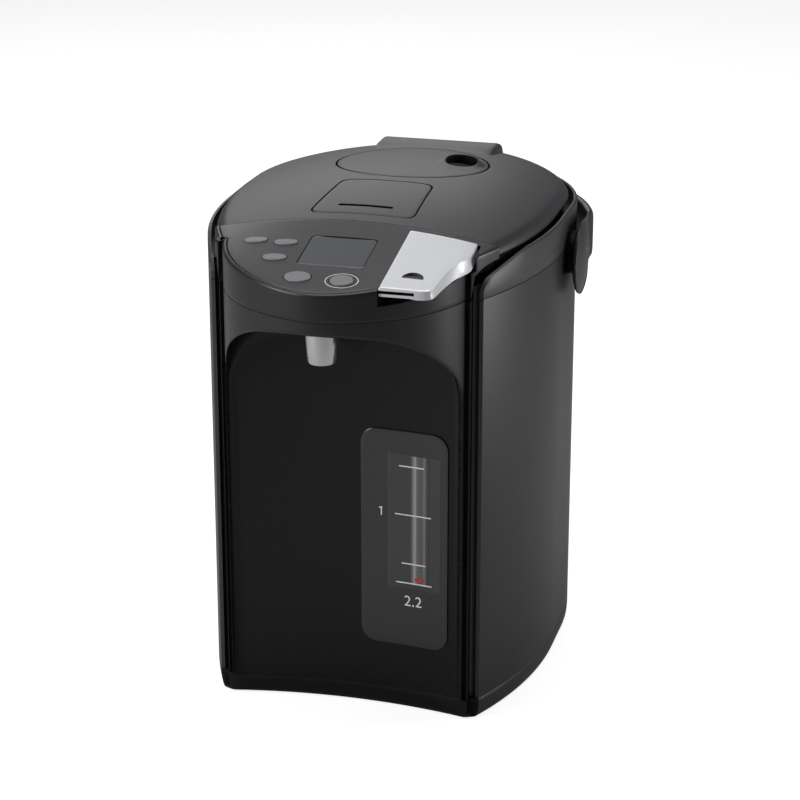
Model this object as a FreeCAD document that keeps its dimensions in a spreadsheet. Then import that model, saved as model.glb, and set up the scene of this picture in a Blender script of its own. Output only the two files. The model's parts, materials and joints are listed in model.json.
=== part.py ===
import FreeCAD, Part
import Sketcher
import math
import os
from FreeCAD import Vector

# Electric thermo pot: a steel shell round a vacuum vessel, a nose that overhangs the cup bay,
# a lid on a rear hinge and a bail handle. The vessel's axis is the datum of every sketch.

# Driving dimensions in millimetres
DRIVING = {
    # Outline of the body seen from above
    "half_width": 95, "side_run": 30, "side_radius": 223, "shell_wall": 2, "flange_y": 130.5,
    "front_wall": 2.5, "nose_tip_radius": 40, "nose_side_offset": 7,
    # Heights
    "base_underside": 1.5, "floor_thickness": 2.5, "skirt_top": 12, "rim_height": 255.5,
    "frame_thickness": 3,
    # Cup bay
    "bay_sagitta": 7, "arch_top_radius": 160, "arch_corner_radius": 44,
    # Deck over the nose and lid
    "seam_front": 107.5, "deck_crown_radius": 350, "panel_inset": 2.2, "panel_thickness": 3, "panel_gap": 0.4,
    "lobe_inset": 4, "lobe_corner": 9,
    # Lid
    "lid_inset": 5, "lid_gap": 0.6, "lid_peak_front": 30,
    "lid_front_radius": 680, "lid_rear_radius": 680, "lid_wall": 3, "lid_edge_radius": 5,
    "tray_inset": 7.5, "plug_radius": 64, "plug_depth": 9,
    "hinge_back": 78, "barrel_radius": 8.3, "barrel_half": 32.5, "barrel_gap": 0.5,
    "hinge_pin_radius": 2.2, "hinge_clearance": 0.06, "lug_thickness": 3,
    "cap_radius": 43, "cap_back": 12, "cap_groove": 0.6, "cap_depth": 3, "vent_side": 27,
    "vent_back": 18, "vent_length": 17, "vent_width": 9,
    "lever_plate_front": 97, "lever_plate_back": 40, "lever_plate_front_half": 28,
    "lever_plate_back_half": 24.6, "lever_plate_thickness": 4, "lever_plate_gap": 0.5,
    "lever_slot_length": 30, "lever_slot_width": 3, "lever_slot_front": 85,
    # Vessel
    "vessel_radius": 70, "vessel_wall": 1, "vessel_bottom": 66, "vacuum_gap": 5, "jacket_wall": 1,
    # Dispense lever
    "press_back": 112.5,
    "press_thickness": 4, "press_travel": 3.3, "press_raise": 1.2, "press_gap": 0.5, "press_pin_radius": 1.5,
    # Keys and display
    "key_travel": 1, "key_gap": 0.4, "key_height": 3.4, "key_proud": 0.7,
    "display_half_width": 17.3, "display_front": 155, "display_back": 125.5, "glass_thickness": 1.6,
    # Spout
    "nozzle_radius": 8.5, "nozzle_bore": 5,
    "pipe_radius": 4.2, "pipe_bore": 3,
    # Water gauge
    "gauge_bottom": 38.5, "gauge_thickness": 2,
    "gauge_corner": 9, "tube_radius": 5, "tube_bore": 3.8, "tube_bottom": 34,
    # Handle
    "pivot_back": -8, "pivot_radius": 3, "pivot_clearance": 0.06,
    "hub_radius": 12, "hub_thickness": 4, "ear_radius": 23, "bail_thickness": 5,
    "grip_height": 24, "grip_drop": 3,
    # Drive, heater and feet
    "heater_radius": 52, "heater_thickness": 4, "impeller_radius": 13, "impeller_height": 5,
    "pump_front": 92, "motor_radius": 14, "motor_height": 22,
    "foot_radius": 9, "screw_radius": 2, "screw_head": 3.6,
    "inlet_half_width": 19, "inlet_bottom": 22, "inlet_height": 34, "inlet_depth": 16,
}

# Dimensions that follow from the width of the body and from the height of its rim
FOLLOWING = {
    "corner_x": "half_width - 22", "flange_x": "half_width - 27.5", "bay_half_width": "half_width - 31",
    "nose_side_radius": "half_width - 21", "nose_reach": "half_width + 90.8",
    "bail_inner": "half_width + 4.5", "press_right": "half_width - 29", "press_left": "press_right - 35",
    "press_front": "nose_reach - 10.8", "spout_front": "nose_reach - 15.8",
    "gauge_right": "bay_half_width - 8", "gauge_left": "gauge_right - 49", "tube_side": "gauge_right - 16",
    "seam_height": "rim_height - 18", "frame_top": "rim_height - 8.5", "bay_top": "rim_height - 25.5",
    "nozzle_bottom": "bay_top - 18", "gauge_top": "bay_top - 68", "pivot_height": "rim_height - 24.5",
    "deck_rear_height": "rim_height + 13.3", "deck_front_height": "rim_height - 3.5",
    "lobe_underside": "rim_height - 1.5", "lid_underside": "rim_height - 0.1",
    "lid_peak": "rim_height + 17.7", "tray_underside": "rim_height - 6", "hinge_height": "rim_height + 2.5",
    "cut_low": "rim_height - 55.5", "cut_high": "rim_height + 44.5",
}

doc = FreeCAD.newDocument("thermo_pot")
sizes = doc.addObject("Spreadsheet::Sheet", "sizes")
for row, (alias, value) in enumerate(list(DRIVING.items()) + list(FOLLOWING.items()), start=1):
    sizes.set("A%d" % row, alias)
    sizes.set("B%d" % row, "=" + str(value))
    sizes.setAlias("B%d" % row, alias)
doc.recompute()


def size(alias):
    return float(sizes.get(alias))


half_width = size("half_width")
low, high = size("cut_low"), size("cut_high")
side_run = size("side_run")
side_radius = size("side_radius")
side_centre_x = half_width - side_radius
corner_angle = -math.acos((size("corner_x") - side_centre_x) / side_radius)
flange_y = -size("flange_y")
seam_y = -size("seam_front")
bay_half = size("bay_half_width")
bay_radius = (bay_half ** 2 + size("bay_sagitta") ** 2) / (2 * size("bay_sagitta"))
bay_centre_y = flange_y + size("bay_sagitta") - bay_radius
bail_outer = size("bail_inner") + size("bail_thickness")
# The box round the whole pot is centred on the origin from nose tip to grip
axis_shift = (size("nose_reach") - bail_outer) / 2
placed = []


def fit(radius):
    """Radius of a hole that a pivot of this radius turns in."""
    return radius + size("pivot_clearance")


# Outline pieces: every curve goes to a sketch as a line or a three-point arc
def line(start, end):
    return Part.LineSegment(Vector(start[0], start[1], 0), Vector(end[0], end[1], 0))


def polar(centre, radius, angle):
    return (centre[0] + radius * math.cos(angle), centre[1] + radius * math.sin(angle))


def arc(centre, radius, first, last):
    points = [polar(centre, radius, angle) for angle in (first, (first + last) / 2, last)]
    return Part.Arc(*[Vector(x, y, 0) for x, y in points])


def circle(x, y, radius):
    return [Part.Circle(Vector(x, y, 0), Vector(0, 0, 1), radius)]


def polygon(points):
    return [line(a, b) for a, b in zip(points, points[1:] + points[:1])]


def box_outline(x_low, x_high, y_low, y_high):
    return polygon([(x_low, y_low), (x_high, y_low), (x_high, y_high), (x_low, y_high)])


def rounded_box(x_low, x_high, y_low, y_high, radius):
    quarter = math.pi / 2
    corners = [(x_high - radius, y_high - radius, 0), (x_low + radius, y_high - radius, quarter),
               (x_low + radius, y_low + radius, 2 * quarter), (x_high - radius, y_low + radius,
                   3 * quarter)]
    curves = []
    for x, y, turn in corners:
        curves.append(arc((x, y), radius, turn, turn + quarter))
    ends = [(polar((x, y), radius, t + quarter), polar((nx, ny), radius, nt))
            for (x, y, t), (nx, ny, nt) in zip(corners, corners[1:] + corners[:1])]
    return curves + [line(a, b) for a, b in ends]


def ellipse(x, y, half_long, half_short, turn=0):
    major = Vector(x + half_long * math.cos(turn), y + half_long * math.sin(turn), 0)
    minor = Vector(x - half_short * math.sin(turn), y + half_short * math.cos(turn), 0)
    return [Part.Ellipse(major, minor, Vector(x, y, 0))]


def side_point(inset, angle, mirror=1):
    x, y = polar((side_centre_x, -side_run), side_radius - inset, angle)
    return (mirror * x, y)


def side_angle(inset, y):
    """Where the side arc at this inset crosses a depth."""
    return math.asin((y + side_run) / (side_radius - inset))


def rear_curves(inset, angle):
    """Right side, round rear and left side of the body, from one side angle to the other."""
    reach = half_width - inset
    return [arc((side_centre_x, -side_run), side_radius - inset, angle, 0),
            line((reach, -side_run), (reach, 0)), arc((0, 0), reach, 0, math.pi),
            line((-reach, 0), (-reach, -side_run)),
            arc((-side_centre_x, -side_run), side_radius - inset, math.pi, math.pi - angle)]


def rear_wall(outer_inset, inner_inset, angle):
    """A C-shaped wall that follows the body and is open at the front."""
    return (rear_curves(outer_inset, angle) + rear_curves(inner_inset, angle)
            + [line(side_point(outer_inset, angle), side_point(inner_inset, angle)),
               line(side_point(outer_inset, angle, -1), side_point(inner_inset, angle, -1))])


def nose_curves(inset):
    """Nose from the right flange round the tip to the left flange, with its end points."""
    tip_radius = size("nose_tip_radius") - inset
    side = size("nose_side_radius") - inset
    offset = size("nose_side_offset")
    tip_centre = (0, -size("nose_reach") + size("nose_tip_radius"))
    rise = math.sqrt((size("nose_side_radius") - size("nose_tip_radius")) ** 2 - offset ** 2)
    side_centre = (-offset, tip_centre[1] + rise)
    turn = math.atan2(-rise, offset)
    foot = -math.acos((bay_half + 1.4 - inset + offset) / side)
    right = arc(side_centre, side, foot, turn)
    tip = arc(tip_centre, tip_radius, turn, -math.pi - turn)
    left = arc((offset, side_centre[1]), side, -math.pi - turn, -math.pi - foot)
    start = polar(side_centre, side, foot)
    return [right, tip, left], start


def bay_curve(inset, half):
    """The concave wall of the cup bay, from right to left."""
    radius = bay_radius - inset
    angle = math.acos(half / radius)
    return arc((0, bay_centre_y), radius, angle, math.pi - angle), polar((0, bay_centre_y), radius, angle)


# Parts of the document
def body(label):
    piece = doc.addObject("PartDesign::Body", label)
    piece.Label = label
    piece.Placement.Base = Vector(0, axis_shift, 0)
    placed.append(piece)
    return piece


def sketch(piece, name, role, curves, offset="0"):
    outline = piece.newObject("Sketcher::SketchObject", name)
    plane = next(f for f in piece.Origin.OriginFeatures if f.Role == role)
    outline.AttachmentSupport = (plane, [""])
    outline.MapMode = "FlatFace"
    outline.setExpression("AttachmentOffset.Base.z", offset)
    outline.addGeometry(curves)
    return outline


def pad(piece, name, curves, low, high, role="XY_Plane"):
    """Extrude an outline between two heights, which are expressions on the sheet."""
    feature = piece.newObject("PartDesign::Pad", name)
    feature.Profile = sketch(piece, name + "_outline", role, curves, low)
    feature.setExpression("Length", "(%s) - (%s)" % (high, low))
    return feature


def pocket(piece, name, curves, low, high, role="XY_Plane"):
    """Cut an outline between two heights, and prove that it removed material."""
    doc.recompute()
    before = piece.Shape.Volume
    feature = piece.newObject("PartDesign::Pocket", name)
    feature.Profile = sketch(piece, name + "_outline", role, curves, low)
    feature.setExpression("Length", "(%s) - (%s)" % (high, low))
    feature.Reversed = True
    doc.recompute()
    if piece.Shape.Volume >= before - 1e-6:
        raise RuntimeError("%s of %s removed nothing" % (name, piece.Label))
    return feature


def revolve(piece, name, curves, cut=False):
    """Turn a profile in the YZ plane round the vertical axis."""
    feature = piece.newObject("PartDesign::Groove" if cut else "PartDesign::Revolution", name)
    outline = sketch(piece, name + "_outline", "XZ_Plane", curves)
    feature.Profile = outline
    feature.ReferenceAxis = (outline, ["V_Axis"])
    feature.Angle = 360
    return feature


def solid(label, shape):
    piece = doc.addObject("Part::Feature", label)
    piece.Label = label
    piece.Shape = shape
    piece.Placement.Base = Vector(0, axis_shift, 0)
    placed.append(piece)
    return piece


def cylinder(radius, height, base, direction=Vector(0, 0, 1)):
    return Part.makeCylinder(radius, height, Vector(*base), direction)


def block(low, high):
    return Part.makeBox(high[0] - low[0], high[1] - low[1], high[2] - low[2], Vector(*low))


def prism(curves, low, high):
    face = Part.Face(Part.Wire(Part.__sortEdges__([c.toShape() for c in curves])))
    face.translate(Vector(0, 0, low))
    return face.extrude(Vector(0, 0, high - low))


# Deck surface: a crowned arc at the lid seam, ruled down to a straight line at the nose tip
def deck_height(x, y):
    share = (-y + seam_y) / (size("nose_reach") + seam_y)
    crown = size("deck_crown_radius")
    rear = size("deck_rear_height") - (crown - math.sqrt(crown ** 2 - x ** 2))
    return (1 - share) * rear + share * size("deck_front_height")


deck_reach = half_width - 5
deck_sky = size("cut_high") + 20


def above_deck(lift):
    """Everything above the deck surface when that is moved up by lift."""
    faces = []
    for y in (seam_y + 12, -size("nose_reach") - 8):
        curve = Part.Arc(*[Vector(x, y, deck_height(x, y) + lift) for x in (-deck_reach, 0, deck_reach)])
        ends = [Vector(deck_reach, y, deck_height(deck_reach, y) + lift), Vector(deck_reach, y, deck_sky),
                Vector(-deck_reach, y, deck_sky), Vector(-deck_reach, y, deck_height(deck_reach, y) + lift)]
        faces.append(Part.Wire([curve.toShape()] + [Part.makeLine(a, b) for a, b in zip(ends, ends[1:])]))
    return Part.makeLoft(faces, True, True)


def above_lid(lift):
    """Everything above the lid's crown: its side profile turned about a low axis along the pot."""
    peak = (-size("lid_peak_front"), size("lid_peak") + lift)
    front, rear = size("lid_front_radius"), size("lid_rear_radius")
    low_y, high_y = -130, 110
    centre_front = (peak[0], peak[1] - front)
    centre_rear = (peak[0], peak[1] - rear)
    first = math.acos((low_y - centre_front[0]) / front)
    last = math.acos((high_y - centre_rear[0]) / rear)
    start = polar(centre_front, front, first)
    end = polar(centre_rear, rear, last)
    corners = [end, (high_y, deck_sky), (low_y, deck_sky), start]
    curves = [arc(centre_front, front, first, math.pi / 2), arc(centre_rear, rear, math.pi / 2, last)]
    curves += [line(a, b) for a, b in zip(corners, corners[1:])]
    edges = [c.toShape() for c in curves]
    face = Part.Face(Part.Wire(Part.__sortEdges__(edges)))
    face.transformShape(FreeCAD.Matrix(0, 0, 1, 0, 1, 0, 0, 0, 0, 1, 0, 0, 0, 0, 0, 1))
    axis = Vector(0, 0, size("lid_peak") - size("deck_crown_radius"))
    wedge = face.revolve(axis, Vector(0, 1, 0), 20)
    mirrored = face.revolve(axis, Vector(0, 1, 0), -20)
    return wedge.fuse(mirrored)


# Base tray with its skirt, which closes the bay and the corner channels at the bottom
flange_x = size("flange_x")
flange_back = flange_y + 12
base_edge, base_start = bay_curve(0, flange_x - 3)
corner = side_point(0, corner_angle)
base_outline = rear_curves(0, corner_angle) + [
    base_edge, line(base_start, (flange_x, flange_y)), line((flange_x, flange_y), corner),
    line((-base_start[0], base_start[1]), (-flange_x, flange_y)), line((-flange_x, flange_y),
        (-corner[0], corner[1]))]
base = body("base_tray")
pad(base, "skirt", base_outline, "sizes.base_underside", "sizes.skirt_top")
inner_edge, inner_start = bay_curve(-size("front_wall"), flange_x - 6)
inner_angle = side_angle(size("front_wall"), flange_back)
inner_corner = side_point(size("front_wall"), inner_angle)
pocket(base, "well", rear_curves(size("front_wall"), inner_angle) + [
    inner_edge, line(inner_start, (inner_start[0], flange_back)), line((inner_start[0], flange_back),
        inner_corner),
    line((-inner_start[0], inner_start[1]), (-inner_start[0], flange_back)),
    line((-inner_start[0], flange_back), (-inner_corner[0], inner_corner[1]))],
    "sizes.base_underside + sizes.floor_thickness", "sizes.skirt_top")

SCREW_PLACES = [(62, -60), (-62, -60), (30, 72), (-30, 72)]
for number, (x, y) in enumerate(SCREW_PLACES):
    pocket(base, "screw_hole_%d" % number, circle(x, y, size("screw_radius") + 0.05),
           "sizes.base_underside",
           "sizes.base_underside + sizes.floor_thickness")
    pocket(base, "screw_seat_%d" % number, circle(x, y, size("screw_head") + 0.05), "sizes.base_underside",
           "sizes.base_underside + 1.5")

feet_places = [(52, -100), (-52, -100), (50, 52), (-50, 52)]
foot_low = size("base_underside")
solid("rubber_feet", Part.makeCompound([
    Part.makeCone(size("foot_radius") - 1, size("foot_radius"), foot_low, Vector(x, y, 0))
    for x, y in feet_places]))

# Rear shell and the ring on top of it
shell = body("rear_shell")
pad(shell, "wall", rear_wall(0, size("shell_wall"), corner_angle), "sizes.skirt_top", "sizes.seam_height")
inlet_half = size("inlet_half_width")
pocket(shell, "inlet_window", box_outline(-inlet_half, inlet_half, size("inlet_bottom"),
       size("inlet_bottom") + size("inlet_height")), "-sizes.half_width - 1", "-sizes.half_width + 12", "XZ_Plane")

ring = body("rear_ring")
pad(ring, "wall", rear_wall(0, size("shell_wall"), corner_angle), "sizes.seam_height", "sizes.rim_height")
barrel_half = size("barrel_half")
notch_half = barrel_half + size("barrel_gap") + size("lug_thickness") + 0.3
pocket(ring, "hinge_notch", box_outline(-notch_half, notch_half,
                                        size("hinge_height") - size("barrel_radius") - 0.6, size("rim_height") + 1),
       "-sizes.half_width - 1", "-sizes.half_width + 25", "XZ_Plane")
for side, name in ((1, "right"), (-1, "left")):
    start_x = size("corner_x") - 4
    drop = [(start_x, size("seam_height") + 5), (start_x, size("rim_height") + 2),
            (90, size("rim_height") + 2),
            (88, size("rim_height")), (79.5, size("rim_height") - 5.2)]
    bend = Part.Arc(Vector(side * 79.5, size("rim_height") - 5.2, 0),
                    Vector(side * 75.2, size("rim_height") - 8.4, 0),
                    Vector(side * start_x, size("seam_height") + 5, 0))
    edges = [line((side * a[0], a[1]), (side * b[0], b[1])) for a, b in zip(drop, drop[1:])]
    pocket(ring, "front_corner_" + name, edges + [bend], "90", "135", "XZ_Plane")

# Front housing: a moulding with the nose over the cup bay and two slim flanges down its sides
front_wall = size("front_wall")


def nose_outline(inset, back):
    curves, start = nose_curves(inset)
    outer = flange_x - inset
    shoulder = flange_y + inset * 0.5
    return curves + [line(start, (outer, shoulder)), line((outer, shoulder), (outer, back)),
                     line((outer, back), (-outer, back)), line((-outer, back), (-outer, shoulder)),
                     line((-outer, shoulder), (-start[0], start[1]))]


def arch_outline(grow):
    """Arch of the bay in the front view: sides, rounded shoulders and a shallow top."""
    half = bay_half + grow
    corner_r = size("arch_corner_radius") + grow
    top_r = size("arch_top_radius") + grow
    top_centre = size("bay_top") - size("arch_top_radius")
    reach = half - corner_r
    spring = top_centre + math.sqrt((top_r - corner_r) ** 2 - reach ** 2)
    turn = math.atan2(spring - top_centre, reach)
    low = size("skirt_top") - 20
    return [line((half, low), (half, spring)), arc((reach, spring), corner_r, 0, turn),
            arc((0, top_centre), top_r, turn, math.pi - turn),
            arc((-reach, spring), corner_r, math.pi - turn, math.pi),
            line((-half, spring), (-half, low)), line((-half, low), (half, low))]


def along_depth(curves, front, back):
    """Extrude a front-view outline along the depth."""
    face = Part.Face(Part.Wire(Part.__sortEdges__([c.toShape() for c in curves])))
    face.rotate(Vector(0, 0, 0), Vector(1, 0, 0), 90)
    face.translate(Vector(0, back, 0))
    return face.extrude(Vector(0, front - back, 0))


housing_back = flange_back
bay_reach = -size("nose_reach") - 20


def bay_prism(inset, half):
    """Everything in front of the bay wall at this inset, as wide as asked."""
    curve, start = bay_curve(inset, half)
    front = [(start[0], start[1]), (start[0], bay_reach), (-start[0], bay_reach), (-start[0], start[1])]
    return prism([curve] + [line(a, b) for a, b in zip(front, front[1:])], -10, 300)


bay_space = bay_prism(0, bay_half + 10).common(along_depth(arch_outline(0), bay_reach - 5, -60))
bay_skin = bay_prism(-front_wall, bay_half + 10).common(along_depth(arch_outline(front_wall),
    bay_reach + 2, -60))
block_outer = prism(nose_outline(0, housing_back), size("skirt_top"), size("seam_height"))
block_inner = prism(nose_outline(front_wall, housing_back + 5), size("skirt_top") - 1,
                    size("seam_height") + 1)
shell_solid = block_outer.cut(block_inner).fuse(block_outer.common(bay_skin)).cut(bay_space).removeSplitter()
tube_x = size("tube_side")
gauge_window = block((tube_x - 14, flange_y - 10, size("gauge_bottom") + 22),
                     (tube_x + 10, flange_y + 15, size("gauge_top") - 10))
nozzle_hole = cylinder(size("nozzle_radius") + 0.3, 40, (0, -size("spout_front"), size("bay_top") - 20))
board_posts = [block((x - 2, -146, low), (x + 2, -140, size("seam_height") + 5)) for x in (-30, 30)]
shell_solid = shell_solid.fuse(Part.makeCompound(board_posts).cut(bay_space))
front_housing = shell_solid.cut(gauge_window).cut(nozzle_hole).removeSplitter()
solid("front_housing", front_housing)

# Bezel: the upper storey of the nose, with side lobes that reach back to the lid seam
lobe_angle = side_angle(size("lobe_inset"), seam_y - 0.4)
lobe_end = side_point(size("lobe_inset"), lobe_angle)
lobe_front_angle = side_angle(size("lobe_inset"), -123)
lobe_front = side_point(size("lobe_inset"), lobe_front_angle)
nose_top, nose_start = nose_curves(0)
bezel_outline = nose_top + [
    line(nose_start, (flange_x, flange_y)), line((flange_x, flange_y), lobe_front),
    arc((side_centre_x, -side_run), side_radius - size("lobe_inset"), lobe_front_angle, lobe_angle),
    line(lobe_end, (-lobe_end[0], lobe_end[1])),
    arc((-side_centre_x, -side_run), side_radius - size("lobe_inset"), math.pi - lobe_angle,
        math.pi - lobe_front_angle),
    line((-lobe_front[0], lobe_front[1]), (-flange_x, flange_y)), line((-flange_x, flange_y),
        (-nose_start[0], nose_start[1]))]
bezel_solid = prism(bezel_outline, size("seam_height"), high).cut(above_deck(0))
lobe_r = size("lobe_corner")
lobe_low = size("lobe_underside")
for side in (1, -1):
    under = [line((side * flange_x, size("seam_height") - 1), (side * flange_x, lobe_low - lobe_r)),
             Part.Arc(Vector(side * flange_x, lobe_low - lobe_r, 0),
                      Vector(side * (flange_x + lobe_r * 0.293), lobe_low - lobe_r * 0.293, 0),
                      Vector(side * (flange_x + lobe_r), lobe_low, 0)),
             line((side * (flange_x + lobe_r), lobe_low), (side * half_width, lobe_low)),
             line((side * half_width, lobe_low), (side * half_width, size("seam_height") - 1)),
             line((side * half_width, size("seam_height") - 1), (side * flange_x, size("seam_height") - 1))]
    bezel_solid = bezel_solid.cut(along_depth(under, -150, -100))
panel_radius_gap = size("panel_inset")


def panel_outline(shrink, back):
    curves, start = nose_curves(panel_radius_gap + shrink)
    return curves + [line(start, (start[0], back)), line((start[0], back), (-start[0], back)),
                     line((-start[0], back), (-start[0], start[1]))]


panel_gap = size("panel_gap")
bezel_solid = bezel_solid.cut(prism(panel_outline(0, seam_y - 2.5), size("frame_top"), high))
bezel_solid = bezel_solid.cut(prism(panel_outline(1.6, seam_y - 5), size("seam_height") - 1, high))
press_left, press_right = size("press_left"), size("press_right")
press_back, press_front = -size("press_back"), -size("press_front")
press_gap = size("press_gap")
press_outline = [
    line((press_left, press_back), (press_right, press_back)),
    line((press_right, press_back), (press_right, press_back - 12)),
    Part.Arc(Vector(press_right, press_back - 12, 0), Vector(press_right - 4.5, press_front + 33, 0),
             Vector(press_right - 9.5, press_front + 5, 0)),
    Part.Arc(Vector(press_right - 9.5, press_front + 5, 0),
             Vector(press_right - 11.2, press_front + 1.4, 0),
             Vector(press_right - 15, press_front, 0)),
    line((press_right - 15, press_front), (press_left, press_front)), line((press_left, press_front),
        (press_left, press_back))]


def press_well(gap):
    """The place of the dispense lever, with its gap and its swing below the deck."""
    return polygon([(press_left - gap, press_back + gap), (press_right + gap + 0.6, press_back + gap),
                    (press_right + gap + 0.6, press_back - 13), (press_right + 4, press_front + 33),
                    (press_right + 4, press_front - 20), (press_left - gap, press_front - 20)])


pin_y = press_back - 4
pin_z = deck_height(press_right - 16, press_back - 4) - 2.8
press_pin_r = size("press_pin_radius")
lever_lugs = (press_left + 5, press_right - 10)
well = prism(press_well(press_gap), low, high).cut(prism(press_well(press_gap), low, high).cut(
    above_deck(-size("press_thickness") - size("press_travel") - 0.4)))
bezel_solid = bezel_solid.cut(well)
bezel_solid = bezel_solid.cut(block((-half_width, housing_back, low),
                                    (half_width, seam_y + 5, size("frame_top"))))
keeper_low = size("tray_underside") + 2.4
bezel_solid = bezel_solid.cut(block((-14, seam_y - 2.2, keeper_low), (14, seam_y + 1, keeper_low + 3.4)))
behind_press = block((press_left - press_gap, press_back + press_gap, size("frame_top")),
                     (press_right - 2, seam_y - 1, high))
bezel_solid = bezel_solid.fuse(behind_press.cut(above_deck(0)))
for x in lever_lugs:
    lug = block((x, press_back - 8, pin_z - 6.5), (x + 3, press_back + 1.5, pin_z + 2))
    bezel_solid = bezel_solid.fuse(lug)
bezel_solid = bezel_solid.cut(cylinder(press_pin_r + 0.01, 60, (press_left - 11, pin_y, pin_z),
                                       Vector(1, 0, 0)))
solid("front_bezel", bezel_solid.removeSplitter())

# Control panel: a ruled plate on the bezel, pierced for the keys, the display and the lever
panel_solid = prism(panel_outline(panel_gap, seam_y - 2.5 - panel_gap), size("frame_top"), high)
panel_solid = panel_solid.cut(above_deck(0))
panel_solid = panel_solid.common(above_deck(-size("panel_thickness")))
reach = size("nose_reach")
KEYS = [("key_temperature", -46.5, 54.8 - reach, 6.5, 2.9), ("key_save", -29.5, 52.3 - reach, 6.5, 2.9),
        ("key_timer", -30.5, 35.8 - reach, 6.5, 3.2), ("key_reboil", -12.6, 16.8 - reach, 7, 5),
        ("key_unlock", 10.5, 16.3 - reach, 6.2, 5)]
key_gap = size("key_gap")
for name, x, y, long_half, short_half in KEYS:
    panel_solid = panel_solid.cut(prism(ellipse(x, y, long_half + key_gap, short_half + key_gap), low,
                                        high))
display_half = size("display_half_width")
display_low, display_high = -size("display_front"), -size("display_back")
display_pocket = prism(rounded_box(-display_half, display_half, display_low, display_high, 2), low, high)
panel_solid = panel_solid.cut(display_pocket.common(above_deck(-size("glass_thickness"))))
display_light = prism(box_outline(-display_half + 3, display_half - 3, display_low + 5, display_high - 4),
                      low, high)
panel_solid = panel_solid.cut(display_light).cut(well).cut(behind_press)
solid("control_panel", panel_solid.removeSplitter())

glass = prism(rounded_box(-display_half + 0.1, display_half - 0.1, display_low + 0.1, display_high - 0.1,
                          2), low, high)
solid("display_window", glass.common(above_deck(-size("glass_thickness"))).cut(above_deck(0)))

board_low = size("seam_height") + 5
board_thickness = 1.6
board_outline = nose_curves(6)[0]
board_start = nose_curves(6)[1]
board = body("control_board")
pad(board, "board", board_outline + [line(board_start, (board_start[0], -119.5)),
                                     line((board_start[0], -119.5), (-board_start[0], -119.5)),
    line((-board_start[0], -119.5), (-board_start[0],
                                     board_start[1]))], "sizes.seam_height + 5", "sizes.seam_height + 6.6")

module_low = board_low + board_thickness
module = block((-display_half + 3, display_low + 5, module_low),
               (display_half - 3, display_high - 4, module_low + 6))
solid("display_module", module)

key_switch_height = 3.5
switches = []
for name, x, y, long_half, short_half in KEYS:
    top = deck_height(x, y)
    stem_low = module_low + key_switch_height + size("key_travel") + 0.1
    switches.append(block((x - 3, y - 3, module_low), (x + 3, y + 3, module_low + key_switch_height)))
    cap = prism(ellipse(x, y, long_half, short_half), low, high)
    cap = cap.common(above_deck(-size("key_height"))).cut(above_deck(size("key_proud")))
    stem = cylinder(1.6, top - size("key_height") + 1.5 - stem_low, (x, y, stem_low))
    solid(name, cap.fuse(stem).removeSplitter())
solid("key_switches", Part.makeCompound(switches))

# Dispense lever: a cast plate that overhangs the nose's right corner and turns on a rear pin
press_lift = size("press_raise")
press_solid = prism(press_outline, low, high)
press_solid = press_solid.common(above_deck(-size("press_thickness"))).cut(above_deck(press_lift))
boss = cylinder(3.6, 32, (press_left + 1.5, pin_y, pin_z),
                Vector(1, 0, 0)).fuse(block((press_left + 1.5, pin_y - 3.6, pin_z),
                                            (press_right - 1.5, pin_y + 3.6, pin_z + 2)))
press_solid = press_solid.fuse(boss.cut(above_deck(0)))
for x in lever_lugs:
    press_solid = press_solid.cut(block((x - 0.4, press_back - 9.5, size("seam_height")),
                                        (x + 3.4, press_back + 1, pin_z + 2.5)))
press_solid = press_solid.cut(cylinder(fit(press_pin_r), 80, (press_left - 11, pin_y, pin_z),
                                       Vector(1, 0, 0)))
finger = ellipse(press_left + 13.5, press_front + 21.5, 7, 2.2, 0.45)
press_solid = press_solid.cut(prism(finger, low, high).common(above_deck(press_lift - 1)))
press_solid = press_solid.cut(block((press_left + 3, press_front - 1, size("deck_front_height") - 1.4),
                                    (press_right - 17, press_front + 1.2, size("deck_front_height"))))
solid("dispense_lever", press_solid.removeSplitter())
solid("lever_pin", cylinder(press_pin_r, 30, (press_left + 2, pin_y, pin_z), Vector(1, 0, 0)))

# Top frame: the black deck inside the ring, with the vessel mouth, the hinge lugs and the corner channels
frame_inset = size("shell_wall")
frame_angle = side_angle(frame_inset, seam_y - 12)
frame_corner = side_point(frame_inset, frame_angle)
frame_solid = prism(rear_curves(frame_inset, frame_angle) + [
    line(frame_corner, (frame_corner[0] - 2, housing_back + 0.2)), line((frame_corner[0] - 2,
        housing_back + 0.2), (-frame_corner[0] + 2, housing_back + 0.2)),
    line((-frame_corner[0] + 2, housing_back + 0.2), (-frame_corner[0], frame_corner[1]))],
    size("frame_top") - size("frame_thickness"), size("frame_top"))
frame_solid = frame_solid.cut(cylinder(size("vessel_radius") + 1, 20, (0, 0, size("frame_top") - 12)))
hinge = (size("hinge_back"), size("hinge_height"))
lug_inner = barrel_half + size("barrel_gap")
trough = cylinder(size("barrel_radius") + 0.6, 2 * lug_inner, (-lug_inner, hinge[0], hinge[1]),
                  Vector(1, 0, 0))
frame_solid = frame_solid.cut(trough)
hinge_hole = size("hinge_pin_radius") + size("hinge_clearance")
for side in (1, -1):
    x_low = lug_inner if side > 0 else -lug_inner - size("lug_thickness")
    lug = block((x_low, hinge[0] - 4.5, size("frame_top") - 1),
                (x_low + size("lug_thickness"), hinge[0] + 4.5, hinge[1]))
    lug = lug.fuse(cylinder(4.5, size("lug_thickness"), (x_low, hinge[0], hinge[1]), Vector(1, 0, 0)))
    frame_solid = frame_solid.fuse(lug)
frame_solid = frame_solid.cut(cylinder(hinge_hole, 120, (-60, hinge[0], hinge[1]), Vector(1, 0, 0)))
ring_inside = prism(rear_curves(frame_inset, frame_angle) + [line(frame_corner,
    (-frame_corner[0], frame_corner[1]))], low, high)
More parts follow.
